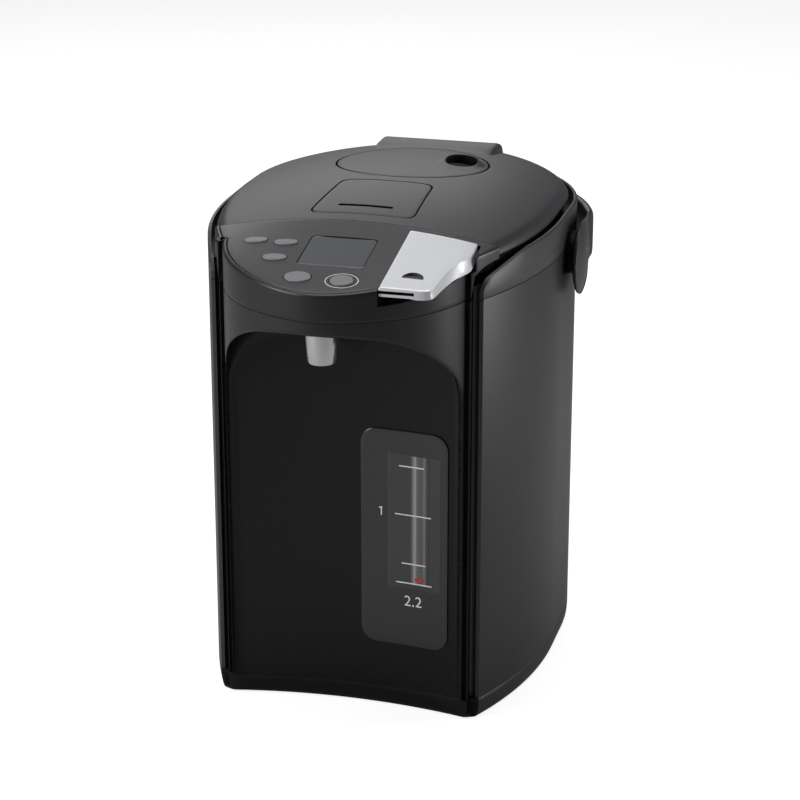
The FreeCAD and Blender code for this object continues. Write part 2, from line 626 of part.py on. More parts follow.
ring_window = cylinder(half_width - 0.3, 20, (0, 0, size("frame_top"))).common(
    block((-notch_half + 0.3, half_width - 35, low), (notch_half - 0.3, half_width + 1, high)))
front_part = block((-half_width, -140, low), (half_width, frame_corner[1] + 0.01, high))
frame_solid = frame_solid.common(ring_inside.fuse(ring_window).fuse(front_part))
solid("top_frame", frame_solid.removeSplitter())

# Black strips that line the two upright channels between housing and shell
strips = []
for side in (1, -1):
    strip = polygon([(side * (flange_x + 0.1), -126), (side * (flange_x + 4.1), -123),
                     (side * (flange_x + 5.7), -119), (side * (flange_x + 0.1), -119)])
    strips.append(prism(strip, size("skirt_top"), size("frame_top") - size("frame_thickness")))
solid("corner_strips", Part.makeCompound(strips))

# Vacuum vessel, its jacket and the rubber seal in the mouth
vessel_r, vessel_wall = size("vessel_radius"), size("vessel_wall")
jacket_r = vessel_r + vessel_wall + size("vacuum_gap")
vessel_low = size("vessel_bottom")
neck = size("frame_top")
bottom_round = 12


def deep_cup(radius, low, high, rounding):
    """A cylinder whose bottom edge is rounded, as a drawn steel cup is."""
    cup = cylinder(radius, high - low, (0, 0, low))
    bottom = [e for e in cup.Edges if e.BoundBox.ZMax < low + 0.01]
    return cup.makeFillet(rounding, bottom)


solid("inner_vessel", deep_cup(vessel_r, vessel_low, neck, bottom_round).cut(
      deep_cup(vessel_r - vessel_wall, vessel_low + vessel_wall, neck + 20, bottom_round - vessel_wall)))
jacket_top = neck - size("frame_thickness")
jacket_wall = size("jacket_wall")
jacket_low = vessel_low + 20
jacket_slope = 6
sleeve = cylinder(jacket_r, jacket_top - jacket_low - 2 * jacket_slope, (0, 0, jacket_low + jacket_slope))
sleeve = sleeve.fuse(Part.makeCone(vessel_r + 1, jacket_r, jacket_slope, Vector(0, 0, jacket_low)))
sleeve = sleeve.fuse(Part.makeCone(jacket_r, vessel_r + 1, jacket_slope,
                                   Vector(0, 0, jacket_top - jacket_slope)))
space = cylinder(jacket_r - jacket_wall, jacket_top - jacket_low - 2 * jacket_slope - 2,
                 (0, 0, jacket_low + jacket_slope + 1))
space = space.fuse(Part.makeCone(vessel_r - 1.2, jacket_r - jacket_wall, jacket_slope + 1,
                                 Vector(0, 0, jacket_low)))
space = space.fuse(Part.makeCone(jacket_r - jacket_wall, vessel_r - 1.2, jacket_slope + 1,
                                 Vector(0, 0, jacket_top - jacket_slope - 1)))
space = space.fuse(cylinder(vessel_r, 200, (0, 0, jacket_low - 10)))
solid("vacuum_jacket", sleeve.cut(space).removeSplitter())

heater_low = vessel_low - size("heater_thickness")
heater = body("heater_plate")
pad(heater, "plate", circle(0, 0, size("heater_radius")), "sizes.vessel_bottom - sizes.heater_thickness",
    "sizes.vessel_bottom")
solid("thermistor", cylinder(4, 6, (20, 20, heater_low - 6)))
floor_z = size("base_underside") + size("floor_thickness")
posts = []
for angle in (45, 135, 225, 315):
    x, y = polar((0, 0), size("heater_radius") - 8, math.radians(angle))
    posts.append(cylinder(4, heater_low - floor_z, (x, y, floor_z)))
solid("heater_posts", Part.makeCompound(posts))

# Pump: motor, housing with its impeller, and the pipes from vessel to spout
pump = (0, -size("pump_front"))
motor_r, motor_h = size("motor_radius"), size("motor_height")
solid("pump_motor", cylinder(motor_r, motor_h, (pump[0], pump[1], floor_z)))
chamber_low = floor_z + motor_h
impeller_r, impeller_h = size("impeller_radius"), size("impeller_height")
chamber_r = impeller_r + 1
chamber_h = impeller_h + 1.2
chamber = cylinder(chamber_r + 2, chamber_h + 4, (pump[0], pump[1], chamber_low))
chamber = chamber.cut(cylinder(chamber_r, chamber_h, (pump[0], pump[1], chamber_low + 2)))
chamber = chamber.fuse(cylinder(size("pipe_radius"), 10, (pump[0], pump[1], chamber_low + chamber_h + 4)))
chamber = chamber.cut(cylinder(size("pipe_bore"), 20, (pump[0], pump[1], chamber_low + 3 + chamber_h - 1)))
spindle_r = 1.5
chamber = chamber.fuse(cylinder(spindle_r, chamber_h - 0.4, (pump[0], pump[1], chamber_low + 1)))
solid("pump_housing", chamber.removeSplitter())
impeller_low = chamber_low + 2.6
wheel = cylinder(impeller_r * 0.42, impeller_h, (pump[0], pump[1], impeller_low))
wheel = wheel.fuse(cylinder(impeller_r - 0.5, 1.2, (pump[0], pump[1], impeller_low)))
for blade in range(6):
    vane = block((3, -0.6, 0), (impeller_r - 0.6, 0.6, impeller_h))
    vane.rotate(Vector(0, 0, 0), Vector(0, 0, 1), 60 * blade)
    vane.translate(Vector(pump[0], pump[1], impeller_low))
    wheel = wheel.fuse(vane)
solid("impeller", wheel.cut(cylinder(fit(spindle_r), 20, (pump[0], pump[1], chamber_low))).removeSplitter())


def pipe(points, radius, bore, bend):
    """A tube along straight runs joined by round bends."""
    outer, inner = [], []
    corners = [Vector(*p) for p in points]
    trims = [0] + [bend] * (len(corners) - 2) + [0]
    for here, after, first, last in zip(corners, corners[1:], trims, trims[1:]):
        way = (after - here).normalize()
        length = (after - here).Length - first - last
        outer.append(Part.makeCylinder(radius, length, here + way * first, way))
        inner.append(Part.makeCylinder(bore, length, here + way * first, way))
    for before, here, after in zip(corners, corners[1:], corners[2:]):
        into = (here - before).normalize()
        out = (after - here).normalize()
        start = here - into * bend
        axis = into.cross(out)
        for radii, pieces in ((radius, outer), (bore, inner)):
            disc = Part.Face(Part.Wire(Part.makeCircle(radii, start, into)))
            pieces.append(disc.revolve(start + out * bend, axis, 90))
    return outer[0].multiFuse(outer[1:]).cut(inner[0].multiFuse(inner[1:])).removeSplitter()


pipe_r, pipe_b = size("pipe_radius"), size("pipe_bore")
spout_y = -size("spout_front")
riser_y = bay_centre_y + bay_radius + front_wall + pipe_r + 3
pipe_level = size("bay_top") + front_wall + pipe_r + 0.5
nozzle_low = size("nozzle_bottom")
nozzle_top = size("bay_top") + 1
chamber_side = (pump[0] - chamber_r - 1, pump[1], chamber_low + 2 + chamber_h / 2)
riser_x = chamber_side[0] - 14
solid("inlet_pipe", pipe([(pump[0], pump[1], chamber_low + chamber_h + 14.1), (pump[0], pump[1], 54),
                          (pump[0], -60, 54),
                          (pump[0], -60, vessel_low - 0.1)], pipe_r, pipe_b, 6))
solid("riser_pipe", pipe([(chamber_side[0] - 1.6, pump[1], chamber_side[2]),
                          (riser_x, pump[1], chamber_side[2]),
                          (riser_x, riser_y, chamber_side[2]), (riser_x, riser_y, pipe_level),
                          (riser_x, riser_y - 14, pipe_level), (0, riser_y - 14, pipe_level), (0, spout_y,
                              pipe_level),
                          (0, spout_y, nozzle_top + 0.1)], pipe_r, pipe_b, 5))

nozzle = body("spout_nozzle")
nozzle_r, nozzle_b = size("nozzle_radius"), size("nozzle_bore")
nozzle_height = nozzle_top - nozzle_low
revolve(nozzle, "tube", polygon([
    (nozzle_b, 0), (nozzle_r - 1.8, 0), (nozzle_r - 1, 0.8), (nozzle_r, nozzle_height),
    (nozzle_b - 1.5, nozzle_height), (nozzle_b - 1.5, nozzle_height - 2), (nozzle_b, nozzle_height - 4)]))
nozzle.Placement.Base = Vector(0, spout_y + axis_shift, nozzle_low)

# Water gauge: a smoked plate on the bay wall, a glass tube behind its window and a red low mark
gauge_low, gauge_high = size("gauge_bottom"), size("gauge_top")
gauge_face = rounded_box(size("gauge_left"), size("gauge_right"), gauge_low, gauge_high,
                         size("gauge_corner"))
plate_band = prism([bay_curve(0.05, 62)[0], bay_curve(size("gauge_thickness"), 62)[0],
                    line(bay_curve(0.05, 62)[1], bay_curve(size("gauge_thickness"), 62)[1]),
                    line((-62, bay_curve(0.05, 62)[1][1]),
                         (-62, bay_curve(size("gauge_thickness"), 62)[1][1]))], 0, 240)
solid("gauge_plate", plate_band.common(along_depth(gauge_face, -150, -100)))
tube_y = bay_centre_y + math.sqrt(bay_radius ** 2 - tube_x ** 2) + front_wall + 1.4 + size("tube_radius")
solid("gauge_tube", cylinder(size("tube_radius"), neck - 8 - size("tube_bottom"),
                             (tube_x, tube_y, size("tube_bottom"))).cut(
    cylinder(size("tube_bore"), 300, (tube_x, tube_y, size("tube_bottom") - 1))))
backing_y = tube_y + size("tube_radius") + 0.3
backing = block((tube_x - 13, backing_y, gauge_low + 12), (tube_x + 12, backing_y + 1.5, gauge_high - 8))
for x in (tube_x - 13, tube_x + 9):
    for z in (gauge_low + 12, gauge_high - 9.5):
        wall_y = bay_centre_y + math.sqrt(bay_radius ** 2 - (x + 1.5) ** 2) + front_wall
        bracket = block((x, wall_y - 1, z), (x + 3, backing_y + 1, z + 1.5))
        backing = backing.fuse(bracket.cut(front_housing))
solid("gauge_backing", backing.removeSplitter())
solid("level_marker", cylinder(size("tube_bore") - 0.3, 5, (tube_x, tube_y, gauge_low + 36)))

# Lid cover: crowned moulding with a rounded edge, a hinge barrel, and a well for the lid lever
lid_inset = size("lid_inset")
lid_front = seam_y + size("lid_gap")


def lid_outline(inset, front):
    angle = side_angle(inset, front)
    start = side_point(inset, angle)
    return rear_curves(inset, angle) + [line(start, (-start[0], start[1]))]


def lid_dome(low, grow):
    """The lid's rounded edge, as bands between outlines that step in as they rise."""
    radius = size("lid_edge_radius")
    wires = [Part.Wire(Part.__sortEdges__([c.toShape() for c in lid_outline(lid_inset + grow,
        lid_front + grow)]))]
    wires[0].translate(Vector(0, 0, low))
    for turn in (0, 30, 55, 75):
        inset = lid_inset + grow + radius * (1 - math.cos(math.radians(turn)))
        edges = [c.toShape() for c in lid_outline(inset, lid_front + grow)]
        wire = Part.Wire(Part.__sortEdges__(edges))
        wire.translate(Vector(0, 0, size("lid_underside") + 1.5 + radius * math.sin(math.radians(turn)) - grow))
        wires.append(wire)
    edges = [c.toShape() for c in lid_outline(lid_inset + grow + 4 * radius, lid_front + grow)]
    wires.append(Part.Wire(Part.__sortEdges__(edges)))
    wires[-1].translate(Vector(0, 0, size("lid_underside") + 2.5 * radius - grow))
    edges = [c.toShape() for c in lid_outline(lid_inset + grow + 5 * radius, lid_front + grow)]
    wires.append(Part.Wire(Part.__sortEdges__(edges)))
    wires[-1].translate(Vector(0, 0, deck_sky - 30))
    return Part.makeLoft(wires, True, True)


def lid_top(y):
    """Height of the lid's middle line behind its peak."""
    radius = size("lid_rear_radius")
    return size("lid_peak") - radius + math.sqrt(radius ** 2 - (y + size("lid_peak_front")) ** 2)


lid_low = size("lid_underside")
lid_block = lid_dome(lid_low, 0)
lid_block = lid_block.cut(block((-notch_half - 0.3, hinge[0] - 6, low), (notch_half + 0.3, 120, high)))
lid_block = lid_block.cut(above_lid(0))
barrel_r = size("barrel_radius")
barrel = cylinder(barrel_r, 2 * barrel_half, (-barrel_half, hinge[0], hinge[1]), Vector(1, 0, 0))
ramp = polygon([(hinge[0] - 34, lid_low + 0.6), (hinge[0] - 34, lid_top(hinge[0] - 34) + 0.6),
                (hinge[0] - 12, hinge[1] + barrel_r + 0.4), (hinge[0], hinge[1] + barrel_r), (hinge[0],
                    lid_low + 0.6)])
ramp_face = Part.Face(Part.Wire(Part.__sortEdges__([c.toShape() for c in ramp])))
ramp_face.transformShape(FreeCAD.Matrix(0, 0, 1, 0, 1, 0, 0, 0, 0, 1, 0, 0, 0, 0, 0, 1))
ramp_face.translate(Vector(-barrel_half, 0, 0))
lid_block = lid_block.fuse(barrel).fuse(ramp_face.extrude(Vector(2 * barrel_half, 0, 0)))
hollow = prism(lid_outline(lid_inset + size("lid_wall"), lid_front + size("lid_wall")), low, high)
hollow = hollow.cut(block((-barrel_half - 5, hinge[0] - 19, low), (barrel_half + 5, 120, high)))
hollow = hollow.cut(above_lid(-size("lid_wall") - 3))
lid_block = lid_block.cut(hollow)
lid_block = lid_block.cut(cylinder(hinge_hole, 120, (-60, hinge[0], hinge[1]), Vector(1, 0, 0)))
lid_block = max(lid_block.Solids, key=lambda part: part.Volume)
plate_front, plate_back = -size("lever_plate_front"), -size("lever_plate_back")
plate_front_half, plate_back_half = size("lever_plate_front_half"), size("lever_plate_back_half")


def plate_outline(grow):
    return polygon([(-plate_front_half - grow, plate_front - grow),
                    (plate_front_half + grow, plate_front - grow),
                    (plate_back_half + grow, plate_back + grow), (-plate_back_half - grow,
                        plate_back + grow)])


plate_gap = size("lever_plate_gap")
plate_t = size("lever_plate_thickness")
lid_block = lid_block.cut(prism(plate_outline(plate_gap), low, high).common(above_lid(-plate_t - 1.2)))
cap_y, cap_r = size("cap_back"), size("cap_radius")
lid_block = lid_block.cut(cylinder(cap_r + size("cap_groove"), 60,
                                   (0, cap_y, lid_low - 15)).common(above_lid(-size("cap_depth"))))
lid_block = lid_block.cut(cylinder(6, 60, (size("vent_side"), size("vent_back"), lid_low - 15)))
solid("lid_cover", lid_block.removeSplitter())

cap = cylinder(cap_r, 60, (0, cap_y, lid_low - 15)).common(above_lid(-size("cap_depth"))).cut(above_lid(0.2))
vent = ellipse(size("vent_side"), size("vent_back"), size("vent_length") / 2, size("vent_width") / 2, 0.3)
solid("steam_cap", cap.cut(prism(vent, low, high)))

# Lid lever: a flush plate that lifts at the front and turns on a pin near its rear edge
plate = prism(plate_outline(0), low, high).common(above_lid(-plate_t)).cut(above_lid(0))
slot_y = -size("lever_slot_front")
slot_half = size("lever_slot_length") / 2
slot = prism(box_outline(-slot_half, slot_half, slot_y - size("lever_slot_width") / 2,
                         slot_y + size("lever_slot_width") / 2), low, high)
solid("lid_lever", plate.cut(slot.common(above_lid(-2.6))))

latch_low = size("tray_underside") + 2.9
latch_high = latch_low + 2.6
latch_nose = seam_y + 0.4
tray_front = lid_front + 2.5
tray = body("lid_tray")
tray_low = "sizes.tray_underside"
pad(tray, "tray", lid_outline(size("tray_inset"), tray_front), tray_low, "sizes.lid_underside")
pocket(tray, "tray_well", lid_outline(size("tray_inset") + 12, tray_front + 36),
       "sizes.tray_underside + 2", "sizes.lid_underside")
pocket(tray, "rear_clearance", box_outline(-notch_half - 6, notch_half + 6, hinge[0] - 14, 120), tray_low,
       "sizes.lid_underside")
pocket(tray, "latch_channel", box_outline(-13.4, 13.4, tray_front - 2, tray_front + 40),
       "sizes.tray_underside + 2.6", "sizes.lid_underside")
latch = block((-13, latch_nose, latch_low), (13, tray_front + 30, latch_high))
solid("lid_latch", latch.cut(block((-6, tray_front + 22, latch_low - 1),
                                   (6, tray_front + 26, latch_high + 1))))
plug_r = size("plug_radius")
plug = body("inner_lid")
pad(plug, "plug", circle(0, 0, plug_r), "sizes.tray_underside - sizes.plug_depth", tray_low)
pocket(plug, "dish", circle(0, 0, plug_r - 14), "sizes.tray_underside - sizes.plug_depth",
       "sizes.tray_underside - sizes.plug_depth + 4")
gasket = body("lid_gasket")
revolve(gasket, "ring", polygon([
    (plug_r + 0.05, size("tray_underside") - 6), (plug_r + 2.4, size("tray_underside") - 6.8),
    (size("vessel_radius") - vessel_wall - 0.6, size("tray_underside") - 3.4), (size("vessel_radius") - vessel_wall - 1.4, size("tray_underside") - 0.1),
    (plug_r + 0.05, size("tray_underside") - 0.1)]))
solid("hinge_pin", cylinder(size("hinge_pin_radius"), 2 * (lug_inner + size("lug_thickness") - 0.2),
      (-lug_inner - size("lug_thickness") + 0.2, hinge[0], hinge[1]), Vector(1, 0, 0)))

# Handle: one bail moulding in plan, its side view cut to two round ears and a slimmer grip
pivot_y, pivot_z = size("pivot_back"), size("pivot_height")
ear_r = size("ear_radius")
bail_in = size("bail_inner")
bail_plan = [arc((0, 0), bail_outer, 0, math.pi), arc((0, 0), bail_in, 0, math.pi)]
for side in (1, -1):
    bail_plan += [line((side * bail_outer, 0), (side * bail_outer, pivot_y - ear_r - 2)),
                  line((side * bail_in, 0), (side * bail_in, pivot_y - ear_r - 2)),
                  line((side * bail_in, pivot_y - ear_r - 2), (side * bail_outer, pivot_y - ear_r - 2))]
grip_half = size("grip_height") / 2
grip_z = pivot_z + size("grip_drop")
neck_y = pivot_y + ear_r + 22
side_view = polygon([(pivot_y, pivot_z + ear_r), (neck_y, grip_z + grip_half),
                     (bail_outer + 20, grip_z + grip_half),
                     (bail_outer + 20, grip_z - grip_half), (neck_y, grip_z - grip_half), (pivot_y,
                         pivot_z - ear_r)])
side_face = Part.Face(Part.Wire(Part.__sortEdges__([c.toShape() for c in side_view])))
side_face.transformShape(FreeCAD.Matrix(0, 0, 1, 0, 1, 0, 0, 0, 0, 1, 0, 0, 0, 0, 0, 1))
side_face.translate(Vector(-150, 0, 0))
side_solid = side_face.extrude(Vector(300, 0, 0)).fuse(cylinder(ear_r, 300, (-150, pivot_y, pivot_z),
    Vector(1, 0, 0)))
bail = prism(bail_plan, pivot_z - 2 * ear_r, pivot_z + 2 * ear_r).common(side_solid).removeSplitter()
pivot_r = size("pivot_radius")
bail = bail.cut(cylinder(fit(pivot_r), 300, (-150, pivot_y, pivot_z), Vector(1, 0, 0)))
solid("handle_bail", bail)
hubs, pivots = [], []
hub_t = size("hub_thickness")
for side in (1, -1):
    out = Vector(side, 0, 0)
    hubs.append(cylinder(size("hub_radius"), hub_t, (side * (half_width + 0.05), pivot_y, pivot_z), out))
    pivots.append(cylinder(pivot_r, bail_outer - half_width - hub_t - 0.4,
                           (side * (half_width + hub_t + 0.05), pivot_y, pivot_z), out))
solid("handle_hubs", Part.makeCompound(hubs))
solid("handle_pivots", Part.makeCompound(pivots))

# Power inlet at the rear, power board and the screws under the base
inlet_low = size("inlet_bottom")
inlet_high = inlet_low + size("inlet_height")
inlet_back = math.sqrt(half_width ** 2 - inlet_half ** 2)
inlet_y = inlet_back - size("inlet_depth")
inlet = block((-inlet_half + 0.1, inlet_y, inlet_low + 0.1),
              (inlet_half - 0.1, inlet_back, inlet_high - 0.1))
inlet_room = block((-inlet_half + 3, inlet_y + 3, inlet_low + 4),
                   (inlet_half - 3, inlet_back + 5, inlet_high - 4))
solid("power_inlet", inlet.cut(inlet_room))
inlet_pins = [cylinder(1.6, 6, (side * 7, inlet_y + 3.05, (inlet_low + inlet_high) / 2),
                       Vector(0, 1, 0)) for side in (1, -1)]
solid("inlet_pins", Part.makeCompound(inlet_pins))
solid("power_board", block((-40, 38, floor_z + 5), (40, 66, floor_z + 6.6)).fuse(block((-36, 40, floor_z),
    (-30, 46, floor_z + 5))).fuse(
    block((30, 56, floor_z), (36, 62, floor_z + 5))).removeSplitter())
screws = []
for x, y in SCREW_PLACES:
    head = cylinder(size("screw_head"), 1.2, (x, y, size("base_underside") + 0.3))
    screws.append(head.fuse(cylinder(size("screw_radius"), 9, (x, y, size("base_underside") + 1.5))))
solid("base_screws", Part.makeCompound(screws))

doc.recompute()

# Every object must be valid before anything is written
for item in doc.Objects:
    if "Invalid" in item.State or "Error" in item.State:
        raise RuntimeError("%s is %s" % (item.Label, item.State))
os.makedirs("parts", exist_ok=True)
for piece in placed:
    shape = piece.Shape
    if shape.isNull() or not shape.isValid() or not shape.Solids:
        raise RuntimeError("%s has no valid solid" % piece.Label)
    shape.exportStep("parts/%s.step" % piece.Label)
    box = shape.BoundBox
    print("%-18s %2d solid %10.1f mm3  x %7.1f %7.1f  y %7.1f %7.1f  z %6.1f %6.1f" % (
        piece.Label, len(shape.Solids), shape.Volume, box.XMin, box.XMax, box.YMin, box.YMax, box.ZMin, box.ZMax))
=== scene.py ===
import json
import math
import bmesh
import bpy
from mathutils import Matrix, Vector


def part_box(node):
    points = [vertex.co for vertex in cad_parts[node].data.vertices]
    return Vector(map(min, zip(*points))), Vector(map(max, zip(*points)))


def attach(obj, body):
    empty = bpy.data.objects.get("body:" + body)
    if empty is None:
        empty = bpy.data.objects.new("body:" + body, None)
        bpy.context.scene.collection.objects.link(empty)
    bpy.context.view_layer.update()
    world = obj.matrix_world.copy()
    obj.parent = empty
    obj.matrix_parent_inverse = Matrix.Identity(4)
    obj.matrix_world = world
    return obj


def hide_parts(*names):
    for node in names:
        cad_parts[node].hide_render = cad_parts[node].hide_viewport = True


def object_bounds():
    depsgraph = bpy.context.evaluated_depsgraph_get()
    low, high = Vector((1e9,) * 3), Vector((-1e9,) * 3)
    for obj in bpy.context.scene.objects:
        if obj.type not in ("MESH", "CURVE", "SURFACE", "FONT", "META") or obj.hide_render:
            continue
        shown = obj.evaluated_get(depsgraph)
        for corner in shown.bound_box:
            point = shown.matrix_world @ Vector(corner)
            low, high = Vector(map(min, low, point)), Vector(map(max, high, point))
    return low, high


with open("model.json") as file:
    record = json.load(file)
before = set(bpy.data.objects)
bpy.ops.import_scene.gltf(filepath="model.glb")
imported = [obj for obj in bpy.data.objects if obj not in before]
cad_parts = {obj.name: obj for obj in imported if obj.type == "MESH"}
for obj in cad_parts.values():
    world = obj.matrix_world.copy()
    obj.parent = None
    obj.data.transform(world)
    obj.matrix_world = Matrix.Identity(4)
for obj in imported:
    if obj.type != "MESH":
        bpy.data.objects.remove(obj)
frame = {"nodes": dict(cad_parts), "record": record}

cad_low, cad_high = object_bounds()

# The frame's datum is the vessel's axis. Sizes below are in millimetres from that axis, with -Y to
# the front, as in the part's source, and the nose tip and rim heights are read from the frame.
MM = 0.001
heater_low, heater_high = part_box("heater_plate")
AXIS_Y = (heater_low[1] + heater_high[1]) / 2
NOSE_TIP = (cad_low[1] - AXIS_Y) / MM
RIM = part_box("rear_ring")[1][2] / MM
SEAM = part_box("rear_shell")[1][2] / MM
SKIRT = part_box("base_tray")[1][2] / MM

# Rear shell: painted steel sheet, rolled round the sides and the rear and open at the front. It
# stands on the base tray and is cut out at the rear for the power inlet. Its surface, the meshes
# and the hand-over of pieces to the part are worked out here, where they are first needed.
HALF_WIDTH, SIDE_RUN, SIDE_RADIUS = 95, 30, 223
SIDE_CENTRE = HALF_WIDTH - SIDE_RADIUS


def blend_value(a, b, share):
    return a + (b - a) * share


def arc(cx, cy, radius, first, last, count):
    return [(cx + radius * math.cos(blend_value(first, last, i / count)),
             cy + radius * math.sin(blend_value(first, last, i / count))) for i in range(count + 1)]


def rear_path(inset, front):
    """From the right front, round the rear, to the left front at depth front."""
    angle = math.asin((front + SIDE_RUN) / (SIDE_RADIUS - inset))
    right = arc(SIDE_CENTRE, -SIDE_RUN, SIDE_RADIUS - inset, angle, 0, 24)
    straight = [(HALF_WIDTH - inset, -SIDE_RUN * (1 - i / 4)) for i in range(1, 4)]
    rear = arc(0, 0, HALF_WIDTH - inset, 0, math.pi, 96)
    half = right + straight + rear
    return half + [(-x, y) for x, y in reversed(right + straight)]


def node_tree(name):
    """A new material, its node tree and its surface shader."""
    material = bpy.data.materials.new(name)
    material.use_nodes = True
    nodes, links = material.node_tree.nodes, material.node_tree.links
    return material, nodes, links, nodes["Principled BSDF"]


def surface(name, color, rough, grain=0.12, scale=900, bump=0.02, metal=0.0, coat=0.0, edge=0.4, spec=0.5,
            streak=(1, 1, 1), tone=0.12):
    """A moulded or painted surface: fine grain, soft tone changes and rounded edges."""
    material, nodes, links, principled = node_tree(name)
    place = nodes.new("ShaderNodeTexCoord")
    stretch = nodes.new("ShaderNodeMapping")
    stretch.inputs["Scale"].default_value = streak
    links.new(place.outputs["Object"], stretch.inputs["Vector"])
    fine = nodes.new("ShaderNodeTexNoise")
    fine.inputs["Scale"].default_value = scale
    fine.inputs["Detail"].default_value = 3
    links.new(stretch.outputs["Vector"], fine.inputs["Vector"])
    broad = nodes.new("ShaderNodeTexNoise")
    broad.inputs["Scale"].default_value = 9
    links.new(place.outputs["Object"], broad.inputs["Vector"])
    spread = nodes.new("ShaderNodeMapRange")
    spread.inputs["To Min"].default_value = max(rough - grain, 0.02)
    spread.inputs["To Max"].default_value = rough + grain
    links.new(fine.outputs["Fac"], spread.inputs["Value"])
    links.new(spread.outputs["Result"], principled.inputs["Roughness"])
    shade = nodes.new("ShaderNodeMix")
    shade.data_type = "RGBA"
    shade.inputs["A"].default_value = [c * (1 - tone) for c in color] + [1]
    shade.inputs["B"].default_value = [min(c * (1 + tone), 1) for c in color] + [1]
    links.new(broad.outputs["Fac"], shade.inputs["Factor"])
    links.new(shade.outputs["Result"], principled.inputs["Base Color"])
    height = nodes.new("ShaderNodeBump")
    height.inputs["Strength"].default_value = bump
    height.inputs["Distance"].default_value = 0.0002
    links.new(fine.outputs["Fac"], height.inputs["Height"])
    if edge:
        rounding = nodes.new("ShaderNodeBevel")
        rounding.samples = 6
        rounding.inputs["Radius"].default_value = edge * MM
        links.new(rounding.outputs["Normal"], height.inputs["Normal"])
    links.new(height.outputs["Normal"], principled.inputs["Normal"])
    principled.inputs["Metallic"].default_value = metal
    principled.inputs["Specular IOR Level"].default_value = spec
    principled.inputs["Coat Weight"].default_value = coat
    principled.inputs["Coat Roughness"].default_value = 0.12
    return material


STEEL_BLACK = surface("painted steel", (0.011, 0.011, 0.012), 0.38, grain=0.05, scale=700, bump=0.02,
                      spec=0.45)
CORNER_BLACK = surface("corner black", (0.03, 0.03, 0.031), 0.42, scale=900, bump=0.02, spec=0.45)
# Near-black painted shade, given to the walls of cuts, gaps and recesses where the light does not reach.
PAINTED_SHADE = surface("painted shade", (0.002, 0.002, 0.002), 0.7, scale=700, spec=0.1, edge=0.0)


def placed(name, data):
    """A new object, put into the scene."""
    item = bpy.data.objects.new(name, data)
    bpy.context.scene.collection.objects.link(item)
    return item


def mesh_object(name, points, faces, material, angle=35):
    """A welded mesh with outward faces, from points in millimetres from the datum."""
    name = name.replace(" ", "_")
    mesh = bpy.data.meshes.new(name)
    mesh.from_pydata([(x * MM, y * MM + AXIS_Y, z * MM) for x, y, z in points], [], faces)
    build = bmesh.new()
    build.from_mesh(mesh)
    bmesh.ops.remove_doubles(build, verts=build.verts, dist=1e-6)
    bmesh.ops.recalc_face_normals(build, faces=build.faces)
    build.to_mesh(mesh)
    build.free()
    mesh.materials.append(material)
    mesh.shade_smooth()
    mesh.set_sharp_from_angle(angle=math.radians(angle))
    return placed(name, mesh)


def loft(name, rows, material, around=True, wrap=False, cap_first=False, cap_last=False, angle=35):
    """A surface through rows of points; around joins each row's ends, wrap joins last row to first."""
    count = len(rows[0])
    points = [p for row in rows for p in row]
    faces = []
    for r in range(len(rows) if wrap else len(rows) - 1):
        upper = (r + 1) % len(rows)
        for c in range(count if around else count - 1):
            d = (c + 1) % count
            faces.append((r * count + c, r * count + d, upper * count + d, upper * count + c))
    if cap_first:
        faces.append(tuple(range(count)))
    if cap_last:
        faces.append(tuple(range((len(rows) - 1) * count, len(rows) * count)))
    return mesh_object(name, points, faces, material, angle)


def prism(name, outline, low, high):
    """An upright block for cutting, whose faces paint near-black shade on the walls it cuts."""
    rows = [[(x, y, z) for x, y in outline] for z in (low, high)]
    return loft(name, rows, PAINTED_SHADE, cap_first=True, cap_last=True)


def oblong(x_low, x_high, y_low, y_high):
    return [(x_low, y_low), (x_high, y_low), (x_high, y_high), (x_low, y_high)]


def settle(item, angle=35):
    """Replaces an object's mesh by its evaluated one, so that it holds its modifiers' result."""
    graph = bpy.context.evaluated_depsgraph_get()
    mesh = bpy.data.meshes.new_from_object(item.evaluated_get(graph))
    item.modifiers.clear()
    item.data = mesh
    mesh.shade_smooth()
    mesh.set_sharp_from_angle(angle=math.radians(angle))
    return item


def cut(item, *tools):
    """Cuts the tools out of a piece; the cut faces keep the tool's material, which paints shade on them.
    """
    for tool in tools:
        change = item.modifiers.new("cut", "BOOLEAN")
        change.operation = "DIFFERENCE"
        change.solver = "EXACT"
        change.material_mode = "TRANSFER"
        change.object = tool
    settle(item)
    for tool in tools:
        bpy.data.objects.remove(tool)
    return item


def stands_for(item, body, slot, *nodes):
    """Hands a finished piece over: the body it rides, its slot, which is not used, and the solids it
    stands for.
    """
    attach(item, body)
    if nodes:
        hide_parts(*nodes)
    return item


def wall_profile(outer, inner, low, high, round_low, round_high):
    """Closed profile of an upright wall with rounded top and bottom outer edges."""
    rows = []
    for i in range(5):
        turn = i / 4 * math.pi / 2
        rows.append((outer + round_low * (1 - math.sin(turn)), low + round_low * (1 - math.cos(turn))))
    for i in range(5):
        turn = i / 4 * math.pi / 2
        rows.append((outer + round_high * (1 - math.cos(turn)), high - round_high * (1 - math.sin(turn))))
    rows += [(inner, high), (inner, low)]
    return rows


def close_ends(item, end_material=None):
    """Fills the open ends of a swept wall."""
    build = bmesh.new()
    build.from_mesh(item.data)
    ends = bmesh.ops.holes_fill(build, edges=[e for e in build.edges if e.is_boundary], sides=0)["faces"]
    bmesh.ops.recalc_face_normals(build, faces=build.faces)
    item.data.materials.append(end_material or item.data.materials[0])
    for face in ends:
        face.material_index = 1
    build.to_mesh(item.data)
    build.free()
    return settle(item)


RING_FOLLOW = 0.3


